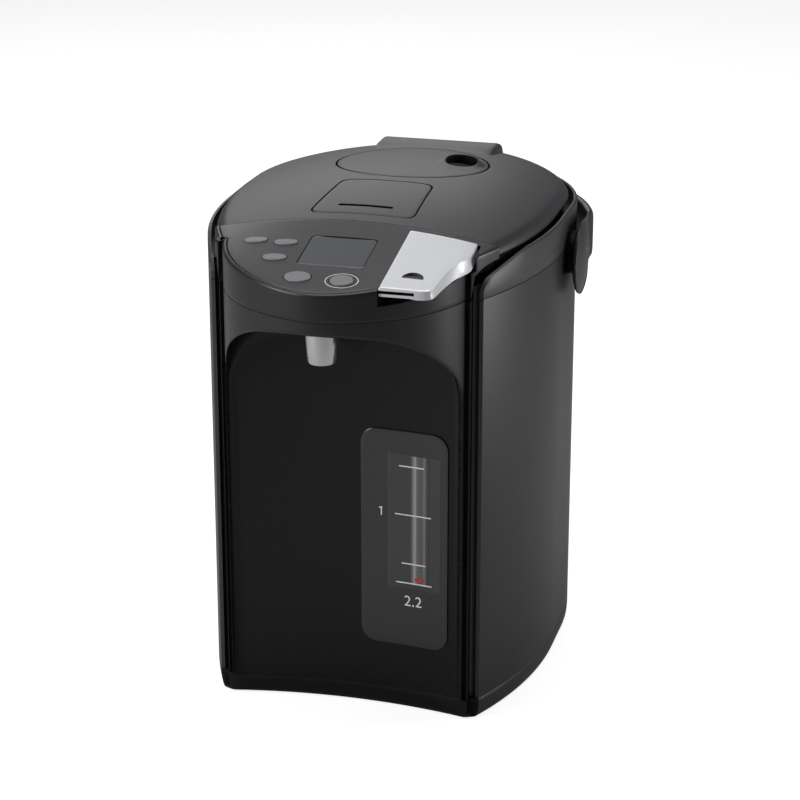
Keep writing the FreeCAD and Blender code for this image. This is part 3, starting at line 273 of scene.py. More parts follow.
def rear_wall(name, profile, material, front_of, top_of=None):
    """An upright wall round the sides and rear, whose top may follow a line along its depth."""
    columns = []
    for inset, z in profile:
        path = rear_path(inset, front_of)
        row = []
        for x, y in path:
            height = z if top_of is None else min(z, top_of(y) - (RIM - z) * RING_FOLLOW)
            row.append((x, y, height))
        columns.append(row)
    return close_ends(loft(name, columns, material, around=False, wrap=True), CORNER_BLACK)


SHELL_FRONT, SHELL_WALL = -126.4, 2
shell = rear_wall("rear shell", wall_profile(0, SHELL_WALL, SKIRT, SEAM, 0.25, 0.5), STEEL_BLACK,
                  SHELL_FRONT)
INLET_HALF, INLET_GAP = 19, 0.1
INSIDE, BEHIND, ABOVE = 60, 120, 300
inlet_low, inlet_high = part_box("power_inlet")
tool = prism("inlet tool", oblong(-INLET_HALF, INLET_HALF, INSIDE, BEHIND),
             inlet_low[2] / MM - INLET_GAP, inlet_high[2] / MM + INLET_GAP)
stands_for(cut(shell, tool), "pot", "black_steel", "rear_shell")

# Rear ring: the moulded rim that caps the shell. Its top dips in a quarter curve at both front
# corners, and a notch at the rear leaves room for the lid's hinge boss.
def through(points, at):
    """Value at a position on the straight runs between (position, value) points."""
    points = sorted(points)
    if at <= points[0][0]:
        return points[0][1]
    for (p0, v0), (p1, v1) in zip(points, points[1:]):
        if at <= p1:
            return blend_value(v0, v1, (at - p0) / (p1 - p0))
    return points[-1][1]


DECK_BLACK = surface("deck black", (0.024, 0.024, 0.026), 0.42, scale=1400, bump=0.05, spec=0.5)
RING_TOP = [(-127, 241), (-126.2, 242.7), (-124.6, 245.8), (-121.8, 248), (-117.5, 249.5),
            (-113.8, 250.4), (-105, 252.3), (-95.7, 254.2), (-85, 255.4), (-70, 255.5)]
ring = rear_wall("rear ring", wall_profile(0, SHELL_WALL, SEAM, RIM, 0.5, 1.1), DECK_BLACK, SHELL_FRONT,
                 top_of=lambda y: through(RING_TOP, y))
NOTCH_HALF, NOTCH_LOW = 40.6, 244.9
tool = prism("notch tool", oblong(-NOTCH_HALF, NOTCH_HALF, INSIDE, BEHIND), NOTCH_LOW, ABOVE)
stands_for(cut(ring, tool), "pot", "satin_black", "rear_ring")

# Base tray: the moulded skirt under shell and bay, drawn in toward the table. Between the side
# wall and the front flange its faces are painted near-black, as painted shade at the end of the corner
# channel.
FLANGE_X, FLANGE_Y = 67.5, -130.5
BAY_HALF, BAY_SAG = 64, 7
BAY_RADIUS = (BAY_HALF ** 2 + BAY_SAG ** 2) / (2 * BAY_SAG)
BAY_CENTRE = FLANGE_Y + BAY_SAG - BAY_RADIUS


def bay_y(x):
    """Depth of the bay wall, a shallow arc that is hollow toward the front."""
    return BAY_CENTRE + math.sqrt(BAY_RADIUS ** 2 - x ** 2)


BAY_BLACK = surface("bay black", (0.003, 0.003, 0.0033), 0.28, grain=0.05, scale=600, bump=0.01, spec=0.3)


def base_outline(inset):
    """The tray's outline: the wall's path, both flanges and the foot of the bay wall."""
    curve = rear_path(inset, SHELL_FRONT)
    bay = [(x, bay_y(x) + inset) for x in [FLANGE_X - 3 - i * (2 * FLANGE_X - 6) / 40 for i in range(41)]]
    right = [(FLANGE_X - inset * 0.6, FLANGE_Y + inset), (FLANGE_X + 2.5 - inset, FLANGE_Y + 0.8 + inset)]
    left = [(-x, y) for x, y in reversed(right)]
    return curve + left + [(-x, y) for x, y in bay] + right


BASE_PROFILE = [(4, 0.9), (1.8, 0.9), (1.2, 1.4), (0.6, 3.5), (0.2, 6), (0, 9), (0, SKIRT - 0.2),
                (0.12, SKIRT)]
rows = [[(x, y, z) for x, y in base_outline(inset)] for inset, z in BASE_PROFILE]
base = loft("base tray", rows, STEEL_BLACK, cap_first=True, cap_last=True)
base.data.materials.append(BAY_BLACK)
base.data.materials.append(PAINTED_SHADE)
BAY_LIMIT, CHANNEL_BACK, CHANNEL_WIDTH = -110, -125, 5.1
# Faces under the bay take the gloss black; faces at the end of the corner channel get near-black painted
# shade.
for face in base.data.polygons:
    x, y = abs(face.center.x / MM), (face.center.y - AXIS_Y) / MM
    if y < BAY_LIMIT and x < FLANGE_X + 0.6:
        face.material_index = 1
    elif y < CHANNEL_BACK and x < FLANGE_X + CHANNEL_WIDTH:
        face.material_index = 2
stands_for(base, "pot", "black_plastic", "base_tray")

# Front housing: one black moulding with the nose wall, the arch with its soft lip, the deep cup bay
# and a slim flange down each side of it. It is screwed to the tray from below.
TIP_RADIUS, NOSE_SIDE, NOSE_OFFSET = 40, 74, 7
TIP_CENTRE = NOSE_TIP + TIP_RADIUS
NOSE_CENTRE = TIP_CENTRE + math.sqrt((NOSE_SIDE - TIP_RADIUS) ** 2 - NOSE_OFFSET ** 2)
NOSE_TURN = math.atan2(TIP_CENTRE - NOSE_CENTRE, NOSE_OFFSET)
NOSE_START = BAY_HALF + 1.4


def nose_path(inset, count=30):
    """From the left flange round the nose tip to the right flange."""
    side = NOSE_SIDE - inset
    foot = -math.acos((NOSE_START - inset + NOSE_OFFSET) / side)
    left = arc(NOSE_OFFSET, NOSE_CENTRE, side, -math.pi - foot, -math.pi - NOSE_TURN, count)
    tip = arc(0, TIP_CENTRE, TIP_RADIUS - inset, -math.pi - NOSE_TURN, NOSE_TURN, count)
    right = arc(-NOSE_OFFSET, NOSE_CENTRE, side, NOSE_TURN, foot, count)
    return left + tip[1:-1] + right


def nose_y(x):
    """Depth of the nose's outside at a width, with the slope to the flange beyond its arcs."""
    x = abs(x)
    if x >= NOSE_START:
        share = min((x - NOSE_START) / (FLANGE_X - NOSE_START), 1)
        return blend_value(nose_y(NOSE_START - 0.001), FLANGE_Y, share)
    if x < TIP_RADIUS * math.cos(NOSE_TURN):
        return TIP_CENTRE - math.sqrt(TIP_RADIUS ** 2 - x ** 2)
    return NOSE_CENTRE - math.sqrt(NOSE_SIDE ** 2 - (x + NOSE_OFFSET) ** 2)


NOSE_BLACK = surface("nose black", (0.013, 0.013, 0.014), 0.34, grain=0.05, scale=900, bump=0.02,
                     spec=0.42)
TRIM_BLACK = surface("trim black", (0.004, 0.004, 0.004), 0.5, scale=900, bump=0.03, spec=0.25)
ARCH_HALF, ARCH_TOP, ARCH_CROWN, ARCH_CORNER = BAY_HALF, 230, 160, 44


def arch_points():
    """Points and outward normals of the arch, from the left foot over the crown to the right foot."""
    reach = ARCH_HALF - ARCH_CORNER
    centre = ARCH_TOP - ARCH_CROWN
    spring = centre + math.sqrt((ARCH_CROWN - ARCH_CORNER) ** 2 - reach ** 2)
    turn = math.atan2(spring - centre, reach)
    half = [(0, ARCH_TOP, 0, 1)]
    for i in range(1, 9):
        angle = blend_value(math.pi / 2, turn, i / 8)
        half.append((ARCH_CROWN * math.cos(angle), centre + ARCH_CROWN * math.sin(angle),
                     math.cos(angle), math.sin(angle)))
    for i in range(1, 25):
        angle = blend_value(turn, 0, i / 24)
        half.append((reach + ARCH_CORNER * math.cos(angle), spring + ARCH_CORNER * math.sin(angle),
                     math.cos(angle), math.sin(angle)))
    for i in range(1, 21):
        half.append((ARCH_HALF, blend_value(spring, SKIRT, i / 20), 1, 0))
    left = [(-x, z, -nx, nz) for x, z, nx, nz in reversed(half)]
    return left + half[1:]


ARCH = arch_points()
LIP, CORNER, COVE = 2.2, 5.0, 18.0


def cove(nz):
    """Radius where the bay's walls and its roof run into the bay wall; the roof's is the larger."""
    return CORNER + (COVE - CORNER) * max(nz, 0)


rows = []
edge = [(x + nx * LIP, z + nz * LIP) for x, z, nx, nz in ARCH]
for share in [1, 0.995, 0.98] + [i / 8 for i in range(7, -1, -1)]:
    row = []
    for (ex, ez), (x, z, nx, nz) in zip(edge, ARCH):
        leg = abs(nx) > 0.999
        far_x = math.copysign(FLANGE_X, ex) if leg else ex
        far_z = ez if leg else SEAM
        if not leg and abs(ex) > FLANGE_X - 1.5:
            far_x = math.copysign(FLANGE_X, ex)
        px, pz = blend_value(ex, far_x, share), blend_value(ez, far_z, share)
        row.append((px, nose_y(px), pz))
    rows.append(row)
for i in range(1, 9):
    turn = i / 8 * math.pi / 2
    row = []
    for x, z, nx, nz in ARCH:
        px, pz = x + nx * LIP * (1 - math.sin(turn)), z + nz * LIP * (1 - math.sin(turn))
        row.append((px, nose_y(px) + LIP * (1 - math.cos(turn)), pz))
    rows.append(row)
for i in range(1, 6):
    row = []
    for x, z, nx, nz in ARCH:
        front, back = nose_y(x) + LIP, bay_y(x) - cove(nz)
        row.append((x, max(blend_value(front, back, i / 5), front + 0.02 * i), z))
    rows.append(row)
for i in range(1, 9):
    turn = i / 8 * math.pi / 2
    row = []
    for x, z, nx, nz in ARCH:
        px, pz = x - nx * CORNER * (1 - math.cos(turn)), z - nz * cove(nz) * (1 - math.cos(turn))
        row.append((px, bay_y(px) - cove(nz) * (1 - math.sin(turn)), pz))
    rows.append(row)
front = loft("front housing", rows, BAY_BLACK, around=False)
front.data.materials.append(NOSE_BLACK)
for face in front.data.polygons:
    x, y = face.center.x / MM, (face.center.y - AXIS_Y) / MM
    face.material_index = 1 if y < nose_y(x) + LIP * 0.9 else 0
inner = rows[-1]
count = len(inner)
rows = []
for i in range(count // 2 + 1):
    left, right = inner[i], inner[count - 1 - i]
    row = []
    for k in range(33):
        x = blend_value(left[0], right[0], k / 32)
        row.append((x, bay_y(x), left[2]))
    rows.append(row)
back_wall = loft("bay wall", rows, BAY_BLACK, around=False)
stands_for(back_wall, "pot", "gloss_black")
stands_for(front, "pot", "gloss_black", "front_housing")
for side in (1, -1):
    rows = []
    for x, y in [(FLANGE_X - 0.6, FLANGE_Y - 0.35), (FLANGE_X - 0.15, FLANGE_Y),
                 (FLANGE_X, FLANGE_Y + 0.5), (FLANGE_X, -118.5)]:
        rows.append([(side * x, y, blend_value(SKIRT, SEAM, i / 6)) for i in range(7)])
    stands_for(loft("flange side", rows, TRIM_BLACK, around=False), "pot", "gloss_black")

# Front bezel: the upper storey of the nose, moulded apart from the housing below the seam. A lobe
# at each side runs back to the lid's seam, with a quarter curve on its underside.
SEAM_Y, LOBE_FRONT = -107.5, -124.5
DECK_REAR, DECK_FRONT, CROWN = 268.8, 252, 350


def deck(x, y):
    """Height of the deck: straight from the seam to the nose tip, crowned across at the seam."""
    share = (SEAM_Y - y) / (SEAM_Y - NOSE_TIP)
    rear = DECK_REAR - (CROWN - math.sqrt(CROWN ** 2 - x ** 2))
    return blend_value(rear, DECK_FRONT, share)


LOBE_INSET, LOBE_R, LOBE_LOW = 4, 9, 254


def lobe_path(inset):
    """Right lobe from the flange back to the seam."""
    points = []
    for i in range(13):
        y = blend_value(LOBE_FRONT, SEAM_Y, i / 12)
        x = SIDE_CENTRE + math.sqrt((SIDE_RADIUS - LOBE_INSET - inset) ** 2 - (y + SIDE_RUN) ** 2)
        points.append((x, y))
    corner = [(FLANGE_X - inset, FLANGE_Y + inset * 0.6),
              (FLANGE_X + 1.4 - inset, FLANGE_Y + 1.6 + inset * 0.4),
              (FLANGE_X + 2.8 - inset, FLANGE_Y + 3.6)]
    return corner + points


def bezel_path(inset):
    right = lobe_path(inset)
    left = [(-x, y) for x, y in reversed(right)]
    return left + nose_path(inset) + right


def bezel_low(x):
    """Underside of the bezel: the seam along the nose, a quarter curve under the lobes."""
    x = abs(x)
    if x <= FLANGE_X + 0.01:
        return SEAM
    run = min(x - FLANGE_X, LOBE_R)
    return LOBE_LOW - LOBE_R + math.sqrt(LOBE_R ** 2 - (LOBE_R - run) ** 2)


rows = []
outer = bezel_path(0)
BEZEL_WALL, BEZEL_ROUND = 3.2, 1.2
BEZEL_FOOT = [(0.03, BEZEL_WALL), (0, BEZEL_WALL), (0, 0.5), (0.012, 0.12), (0.03, 0)]
for share, inset in BEZEL_FOOT + [(i / 8, 0) for i in range(1, 8)]:
    rows.append([(x, y, blend_value(bezel_low(ox), deck(ox, oy) - BEZEL_ROUND, share))
                 for (x, y), (ox, oy) in zip(bezel_path(inset), outer)])
for i in range(7):
    turn = i / 6 * math.pi / 2
    path = bezel_path(BEZEL_ROUND * (1 - math.cos(turn)))
    rows.append([(x, y, deck(x, y) - BEZEL_ROUND * (1 - math.sin(turn))) for x, y in path])
for inset, drop in [(1.9, 0), (2.2, 0.3), (2.25, 3), (BEZEL_WALL, 3.2)]:
    rows.append([(x, y, deck(x, y) - drop) for x, y in bezel_path(inset)])
bezel = loft("front bezel", rows, NOSE_BLACK, around=False, wrap=True)
close_ends(bezel)
stands_for(bezel, "pot", "satin_black", "front_bezel")

# Deck ledge: the moulded shelf inside the bezel that carries the panel and the keys. It is sunk
# under the dispense lever, deep enough for the lever's travel.
def plate(name, outline, lift, drop, material, round_edge=0.35, rings=12, height=deck, centre=None):
    """A thin plate whose top follows a height function, with a rounded edge; its sides below the edge are
    painted near-black as the shade in the gap round it.
    """
    cx = centre[0] if centre else sum(p[0] for p in outline) / len(outline)
    cy = centre[1] if centre else sum(p[1] for p in outline) / len(outline)
    rows = [[(x, y, height(x, y) - drop) for x, y in outline]]

    def ring(inward, down):
        row = []
        for x, y in outline:
            reach = math.hypot(x - cx, y - cy)
            share = 1 - inward / reach
            px, py = cx + (x - cx) * share, cy + (y - cy) * share
            row.append((px, py, height(px, py) + lift - down))
        return row

    for i in range(5):
        turn = i / 4 * math.pi / 2
        rows.append(ring(round_edge * (1 - math.cos(turn)), round_edge * (1 - math.sin(turn))))
    for i in range(1, rings):
        share = 1 - (i / rings) * 0.98
        rows.append([(cx + (x - cx) * share, cy + (y - cy) * share,
                      height(cx + (x - cx) * share, cy + (y - cy) * share) + lift) for x, y in outline])
    item = loft(name, rows, material, cap_first=True, cap_last=True)
    # The plate's sides take the near-black painted shade of the gap round it.
    item.data.materials.append(PAINTED_SHADE)
    for face in item.data.polygons:
        x, y, z = face.center.x / MM, (face.center.y - AXIS_Y) / MM, face.center.z / MM
        face.material_index = 1 if z < height(x, y) + lift - round_edge else 0
    return item


def fine(points, step=1.5):
    """Adds points along the long sides of a closed outline."""
    result = []
    for (ax, ay), (bx, by) in zip(points, points[1:] + points[:1]):
        count = max(1, int(math.hypot(bx - ax, by - ay) / step))
        result += [(blend_value(ax, bx, i / count), blend_value(ay, by, i / count)) for i in range(count)]
    return result


PANEL_INSET, DECK_CENTRE = 2.6, (0, -125)
panel_side = [(x, y) for x, y in lobe_path(PANEL_INSET) if y > DECK_CENTRE[1]]
panel_line = [(-x, y) for x, y in reversed(panel_side)] + nose_path(PANEL_INSET) + panel_side
deck_plate = plate("deck ledge", fine(panel_line), -2.7, 12, DECK_BLACK, rings=14, centre=DECK_CENTRE)
stands_for(deck_plate, "pot", "satin_black")

# Control panel and keys: one plate that slopes with the deck, snapped into the bezel, and five
# rubbery keys that stand proud of it. A printed ring marks the key in front of the display.
PANEL_BLACK = surface("panel black", (0.034, 0.034, 0.037), 0.36, scale=1400, bump=0.04, spec=0.5)
KEY_GREY = surface("key grey", (0.17, 0.17, 0.176), 0.4, scale=1500, bump=0.03)
PRINT = surface("print", (0.72, 0.72, 0.72), 0.5, scale=900, edge=0.0, tone=0.02)
panel = plate("control panel", fine(panel_line), 0.0, 2.6, PANEL_BLACK, rings=16, centre=DECK_CENTRE)


def oval(cx, cy, half_long, half_short, count=48):
    return [(cx + half_long * math.cos(2 * math.pi * i / count),
             cy + half_short * math.sin(2 * math.pi * i / count)) for i in range(count)]


KEYS = {"key_temperature": (-46.5, -131, 6.5, 2.9), "key_save": (-29.5, -133.5, 6.5, 2.9),
        "key_timer": (-30.5, -150, 6.5, 3.2), "key_reboil": (-12.6, -169, 7, 5),
        "key_unlock": (10.5, -169.5, 6.2, 5)}
BELOW, KEY_GAP = 230, 0.35


def key_tools():
    return [prism("key tool", oval(x, y, a + KEY_GAP, b + KEY_GAP), BELOW, ABOVE)
            for x, y, a, b in KEYS.values()]


PRESS_LEFT, PRESS_GAP = 31, 0.5
press_tool = [(PRESS_LEFT - PRESS_GAP, -112), (68.2, -112), (68.8, -127), (71.2, -130.6), (90, -133),
              (90, -200), (PRESS_LEFT - PRESS_GAP, -200)]
tools = key_tools() + [prism("press tool", press_tool, BELOW, ABOVE)]


def rounded(x_low, x_high, y_low, y_high, radius):
    quarter = math.pi / 2
    points = []
    for x, y, turn in [(x_high - radius, y_high - radius, 0), (x_low + radius, y_high - radius, 1),
                       (x_low + radius, y_low + radius, 2), (x_high - radius, y_low + radius, 3)]:
        points += arc(x, y, radius, turn * quarter, (turn + 1) * quarter, 6)
    return points


DISPLAY_HALF, DISPLAY_FRONT, DISPLAY_BACK, DISPLAY_GAP = 17.3, -155, -125.5, 0.4


def display_tool():
    half = DISPLAY_HALF + DISPLAY_GAP
    outline = rounded(-half, half, DISPLAY_FRONT - DISPLAY_GAP, DISPLAY_BACK + DISPLAY_GAP, 2.2)
    return prism("display tool", outline, BELOW, ABOVE)


tools.append(display_tool())
stands_for(cut(panel, *tools), "pot", "satin_black", "control_panel")
LOWER_Z = [(-175, 250.5), (-170, 250.6), (-160.8, 251.5), (-152.7, 252.4), (-145.2, 253.2),
           (-140.1, 253.6), (-132, 254.2), (-118, 256), (-112.5, 257)]
well_line = fine(press_tool, 6)
WELL_DEPTH, WELL_SLOPE, WELL_START = 1.3, 0.062, 116


def well_tool():
    """Room under the lever: its underside, lowered by its travel, which grows toward the front; its walls
    are painted near-black as the shade under the lever.
    """
    floor_line = [(x, y, through(LOWER_Z, y) - WELL_DEPTH + WELL_SLOPE * min(0, y + WELL_START))
                  for x, y in well_line]
    return loft("well tool", [floor_line, [(x, y, ABOVE) for x, y in well_line]], PAINTED_SHADE,
                cap_first=True, cap_last=True)


cut(deck_plate, *key_tools(), display_tool(), well_tool())
cut(bezel, well_tool())
for name, (x, y, a, b) in KEYS.items():
    key = plate(name + " cap", oval(x, y, a, b), 0.65, 2.4, KEY_GREY, round_edge=0.7, rings=6)
    stands_for(key, name, "key_grey", name)
RING_X, RING_Y = KEYS["key_unlock"][:2]
RING_LINES = [oval(RING_X, RING_Y, 8.6, 7.2, 64), oval(RING_X, RING_Y, 8.2, 6.8, 64)]
rows = [[(x, y, deck(x, y) + 0.04) for x, y in line] for line in RING_LINES]
stands_for(loft("key ring print", rows, PRINT), "pot", "satin_black")

# Display window: a clear plastic pane, glued flush into the panel over the liquid-crystal module,
# which looks dark grey while it is switched off.
display_material = surface("display", (0.085, 0.088, 0.09), 0.2, grain=0.03, bump=0.0, coat=0.5, edge=0.0)
glass_line = rounded(-DISPLAY_HALF, DISPLAY_HALF, DISPLAY_FRONT, DISPLAY_BACK, 2)
glass = plate("display window", glass_line, -0.15, 1.5, display_material, round_edge=0.3)
stands_for(glass, "pot", "glass_clear", "display_window")

# Dispense lever: a silver lacquered moulding, flat on top, that tips on a pin behind the panel.
# A flared bevel runs along its right side, and a thumb dimple is pressed into its front. The
# dimple's walls are painted dark grey as shade, and the slot in its front face near-black.
SILVER = surface("silver lever", (0.68, 0.69, 0.71), 0.34, grain=0.05, scale=1500, bump=0.01,
                 metal=0.15, coat=0.4, tone=0.03, edge=0.0)
CREASE = [(-175, 50.4), (-174.6, 54.2), (-173.6, 56.3), (-171.3, 57.6), (-166, 58.3), (-161.2, 58.8),
          (-155, 59.3), (-150.8, 59.8), (-146, 60.8), (-141.6, 62), (-138.5, 63.1), (-135.7, 64.4),
          (-132, 65.9), (-128.7, 66.8), (-122, 66.8), (-112.5, 66.4)]
LOWER = [(-175, 50.4), (-174.6, 54.4), (-173.6, 56.7), (-171.3, 58), (-166, 58.8), (-160.8, 59.5),
         (-155, 60.5), (-152.7, 61), (-148, 62.2), (-145.2, 63.1), (-140.1, 65.3), (-136, 67.2),
         (-132, 67.9), (-128.1, 67.8), (-120, 67.4), (-112.5, 67)]
PRESS_FRONT, PRESS_BACK, PRESS_THICK, PRESS_ROUND, END_ROUND = -175, -112.5, 3.4, 0.7, 0.9
PRESS_RAISE, BEVEL_SAG = 1.2, 0.18
rows = []
stations = ([PRESS_BACK, -112.8, -113.5] + [blend_value(-115, -172, i / 30) for i in range(31)]
            + [-173, -174, -174.6, PRESS_FRONT])
for y in stations:
    edge_x, low_x, low_z = through(CREASE, y), through(LOWER, y), through(LOWER_Z, y)
    end_drop = 0
    for near in (min(1, y - PRESS_FRONT), min(1, PRESS_BACK - y)):
        end_drop += END_ROUND * (1 - math.sqrt(max(0, 1 - (1 - near) ** 2)))
    row = []
    bottom = blend_value(deck(PRESS_LEFT, y) - PRESS_THICK, low_z, 0.3)
    row.append((PRESS_LEFT + 0.3, y, bottom))
    row.append((PRESS_LEFT, y, bottom + 0.3))
    for i in range(4):
        turn = i / 3 * math.pi / 2
        px = PRESS_LEFT + PRESS_ROUND * (1 - math.cos(turn))
        row.append((px, y, deck(px, y) + PRESS_RAISE - PRESS_ROUND * (1 - math.sin(turn)) - end_drop))
    for i in range(1, 9):
        px = blend_value(PRESS_LEFT + PRESS_ROUND, edge_x - 0.8, i / 8)
        row.append((px, y, deck(px, y) + PRESS_RAISE - end_drop))
    top_z = deck(edge_x, y) + PRESS_RAISE - end_drop
    row.append((edge_x, y, top_z - 0.25))
    for i in range(1, 8):
        share = i / 7
        sag = math.sin(share * math.pi) * BEVEL_SAG
        row.append((blend_value(edge_x, low_x, share ** 1.5), y,
                    blend_value(top_z - 0.25, low_z, share) - sag))
    row.append((low_x - 0.5, y, low_z - 0.3))
    row.append((low_x - 4, y, low_z + 0.2))
    rows.append(row)
press = loft("dispense lever", rows, SILVER, cap_first=True, cap_last=True, angle=50)
SLOT_RIGHT, SLOT_BACK, SLOT_LOW, SLOT_HIGH = 49, -173.4, 252.1, 253.7
slot = prism("front slot", oblong(PRESS_LEFT - 2, SLOT_RIGHT, -180, SLOT_BACK), SLOT_LOW, SLOT_HIGH)
DIMPLE_X, DIMPLE_Y, DIMPLE_HALF, DIMPLE_LENGTH = 45, -162.6, 5.6, 6.4
dimple_rows = []
for depth_share, lift in ((1, 0), (0, 6)):
    row = []
    for i in range(33):
        turn = math.pi * i / 32
        x, y = DIMPLE_X + DIMPLE_HALF * math.cos(turn), DIMPLE_Y + DIMPLE_LENGTH * math.sin(turn)
        row.append((x, y, deck(x, y) + PRESS_RAISE + lift - depth_share * (0.15 + 1.5 * math.sin(turn))))
    for i in range(1, 16):
        x, y = blend_value(DIMPLE_X - DIMPLE_HALF, DIMPLE_X + DIMPLE_HALF, i / 16), DIMPLE_Y - 0.2
        row.append((x, y, deck(x, y) + PRESS_RAISE + lift - depth_share * 0.1))
    dimple_rows.append(row)
# Dark grey painted shade for the walls of the thumb dimple.
DIMPLE_SHADE = surface("dimple", (0.05, 0.05, 0.052), 0.5, edge=0.0)
dimple = loft("dimple", dimple_rows, DIMPLE_SHADE, cap_first=True, cap_last=True)
stands_for(cut(press, slot, dimple), "dispense_lever", "silver_lever", "dispense_lever")

# Lid: a crowned black moulding with a soft edge, cut out for its lift plate, which unlatches it,
# and for the round steam cap with its vent. Both lie flush in the crown; the walls of the gap round them
# are painted near-black as shade.
PEAK, PEAK_Y, LID_RADIUS = 273.2, -30, 680


def lid_height(x, y):
    """Height of the lid: an arc from front to rear, swept round an axis far below the vessel."""
    middle = PEAK - LID_RADIUS + math.sqrt(LID_RADIUS ** 2 - (y - PEAK_Y) ** 2)
    axis = PEAK - CROWN
    return axis + math.sqrt((middle - axis) ** 2 - x ** 2)


LID_INSET, LID_FRONT, LID_BASE = 5, -106.9, 255.6
LID_SIDE_EDGE, LID_EDGE_RISE, LID_CENTRE = 5.5, 5.8, -12


def lid_ring(inset):
    """The lid's outline: round the rear, and straight along the seam."""
    path = rear_path(inset, LID_FRONT)
    right, left = path[0], path[-1]
    front = [(blend_value(left[0], right[0], i / 30), LID_FRONT) for i in range(1, 30)]
    return path + front


rows = [[(x, y, LID_BASE - 0.1) for x, y in lid_ring(LID_INSET + 3)],
        [(x, y, LID_BASE - 0.1) for x, y in lid_ring(LID_INSET + 0.6)],
        [(x, y, LID_BASE + 0.3) for x, y in lid_ring(LID_INSET)]]
for i in range(9):
    turn = i / 8 * math.pi / 2
    path = lid_ring(LID_INSET + LID_SIDE_EDGE * (1 - math.cos(turn)))
    row = []
    for x, y in path:
        crown = lid_height(x, y)
        rise = min(crown - LID_BASE - 0.6, LID_EDGE_RISE)
        row.append((x, y, crown - rise * (1 - math.sin(turn))))
    rows.append(row)
base_ring = lid_ring(LID_INSET + LID_SIDE_EDGE)
for i in range(1, 30):
    share = 1 - i / 30
    row = []
    for x, y in base_ring:
        px, py = x * share, LID_CENTRE + (y - LID_CENTRE) * share
        row.append((px, py, lid_height(px, py)))
    rows.append(row)
lid = loft("lid cover", rows, DECK_BLACK, cap_first=True, cap_last=True, angle=40)


def tilted_prism(outline, depth, height):
    """A cutting block whose foot lies a depth below a curved surface; its faces paint near-black shade on
    the cut's walls.
    """
    rows = [[(x, y, height(x, y) - depth) for x, y in outline], [(x, y, ABOVE) for x, y in outline]]
    return loft("tool", rows, PAINTED_SHADE, cap_first=True, cap_last=True)


def rounded_plate(front_y, back_y, front_half, back_half, radius, grow=0.0):
    """Outline of the lift plate: wider in front, with round corners."""
    corners = [(front_half + grow, front_y - grow), (back_half + grow, back_y + grow),
               (-back_half - grow, back_y + grow), (-front_half - grow, front_y - grow)]
    points = []
    for i in range(4):
        before, here, after = Vector(corners[i - 1]), Vector(corners[i]), Vector(corners[(i + 1) % 4])
        start = here + (before - here).normalized() * radius
        end = here + (after - here).normalized() * radius
        for k in range(7):
            t = k / 6
            point = start * (1 - t) ** 2 + here * 2 * t * (1 - t) + end * t ** 2
            points.append((point.x, point.y))
    return points


LIFT, LIFT_GAP = (-97, -40, 28, 25, 7), 0.75
lift_hole = tilted_prism(fine(rounded_plate(*LIFT, grow=LIFT_GAP)), 4.6, lid_height)
CAP_Y, CAP_RADIUS, CAP_GAP = 12, 42.5, 1
cap_hole = tilted_prism(oval(0, CAP_Y, CAP_RADIUS + CAP_GAP, CAP_RADIUS + CAP_GAP, 96), 3, lid_height)
hinge_low, hinge_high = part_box("hinge_pin")
hinge_y = ((hinge_low[1] + hinge_high[1]) / 2 - AXIS_Y) / MM
hinge_z = (hinge_low[2] + hinge_high[2]) / 2 / MM
HINGE_HALF, HINGE_FRONT = 36.6, 6
hinge_hole = prism("hinge tool", oblong(-HINGE_HALF, HINGE_HALF, hinge_y - HINGE_FRONT, BEHIND),
                   BELOW, ABOVE)
stands_for(cut(lid, lift_hole, cap_hole, hinge_hole), "lid", "satin_black", "lid_cover")
lift = plate("lid lever", fine(rounded_plate(*LIFT)), 0.0, 3.8, DECK_BLACK, rings=12, height=lid_height)
finger = tilted_prism(fine(rounded(-15.5, 14.5, -86.5, -83.5, 1.4)), 2.4, lid_height)
stands_for(cut(lift, finger), "lid_lever", "satin_black", "lid_lever")
cap = plate("steam cap", oval(0, CAP_Y, CAP_RADIUS, CAP_RADIUS, 96), 0.1, 2.8, DECK_BLACK,
            round_edge=0.5, rings=14, height=lid_height)
VENT_X, VENT_Y, VENT_LONG = 27, 17, 1.12


def eased(share):
    """A share from 0 to 1 that starts and ends softly."""
    return share * share * (3 - 2 * share)


def vent_ring(radius, rise):
    """A ring round the vent that stands up at the rear and dies into the cap at the front."""
    row = []
    for i in range(48):
        turn = 2 * math.pi * i / 48
        x, y = VENT_X + radius * math.cos(turn), VENT_Y + radius * VENT_LONG * math.sin(turn)
        row.append((x, y, lid_height(x, y) + 0.15 + rise * eased((1 + math.sin(turn)) / 2)))
    return row


vent = tilted_prism([(x, y) for x, y, z in vent_ring(8.8, 0)], 2.4, lid_height)
stands_for(cut(cap, vent), "lid", "satin_black", "steam_cap")
HOOD = [(14.2, -0.3), (13.2, 0.25), (11.9, 0.9), (10.8, 1.9), (10.1, 2.5), (9.6, 2.8), (9.2, 2.8)]
rows = [vent_ring(radius, rise) for radius, rise in HOOD]
stands_for(loft("vent hood", rows, DECK_BLACK), "lid", "satin_black")
# The vent's throat and floor are painted near-black as the shade inside the vent.
THROAT = [(9.2, 2.8), (8.7, 2.4), (8.5, 1.2), (8.5, -2.2), (0.5, -2.2)]
rows = [vent_ring(radius, rise) for radius, rise in THROAT]
stands_for(loft("vent floor", rows, PAINTED_SHADE, cap_last=True), "lid", "black_plastic")

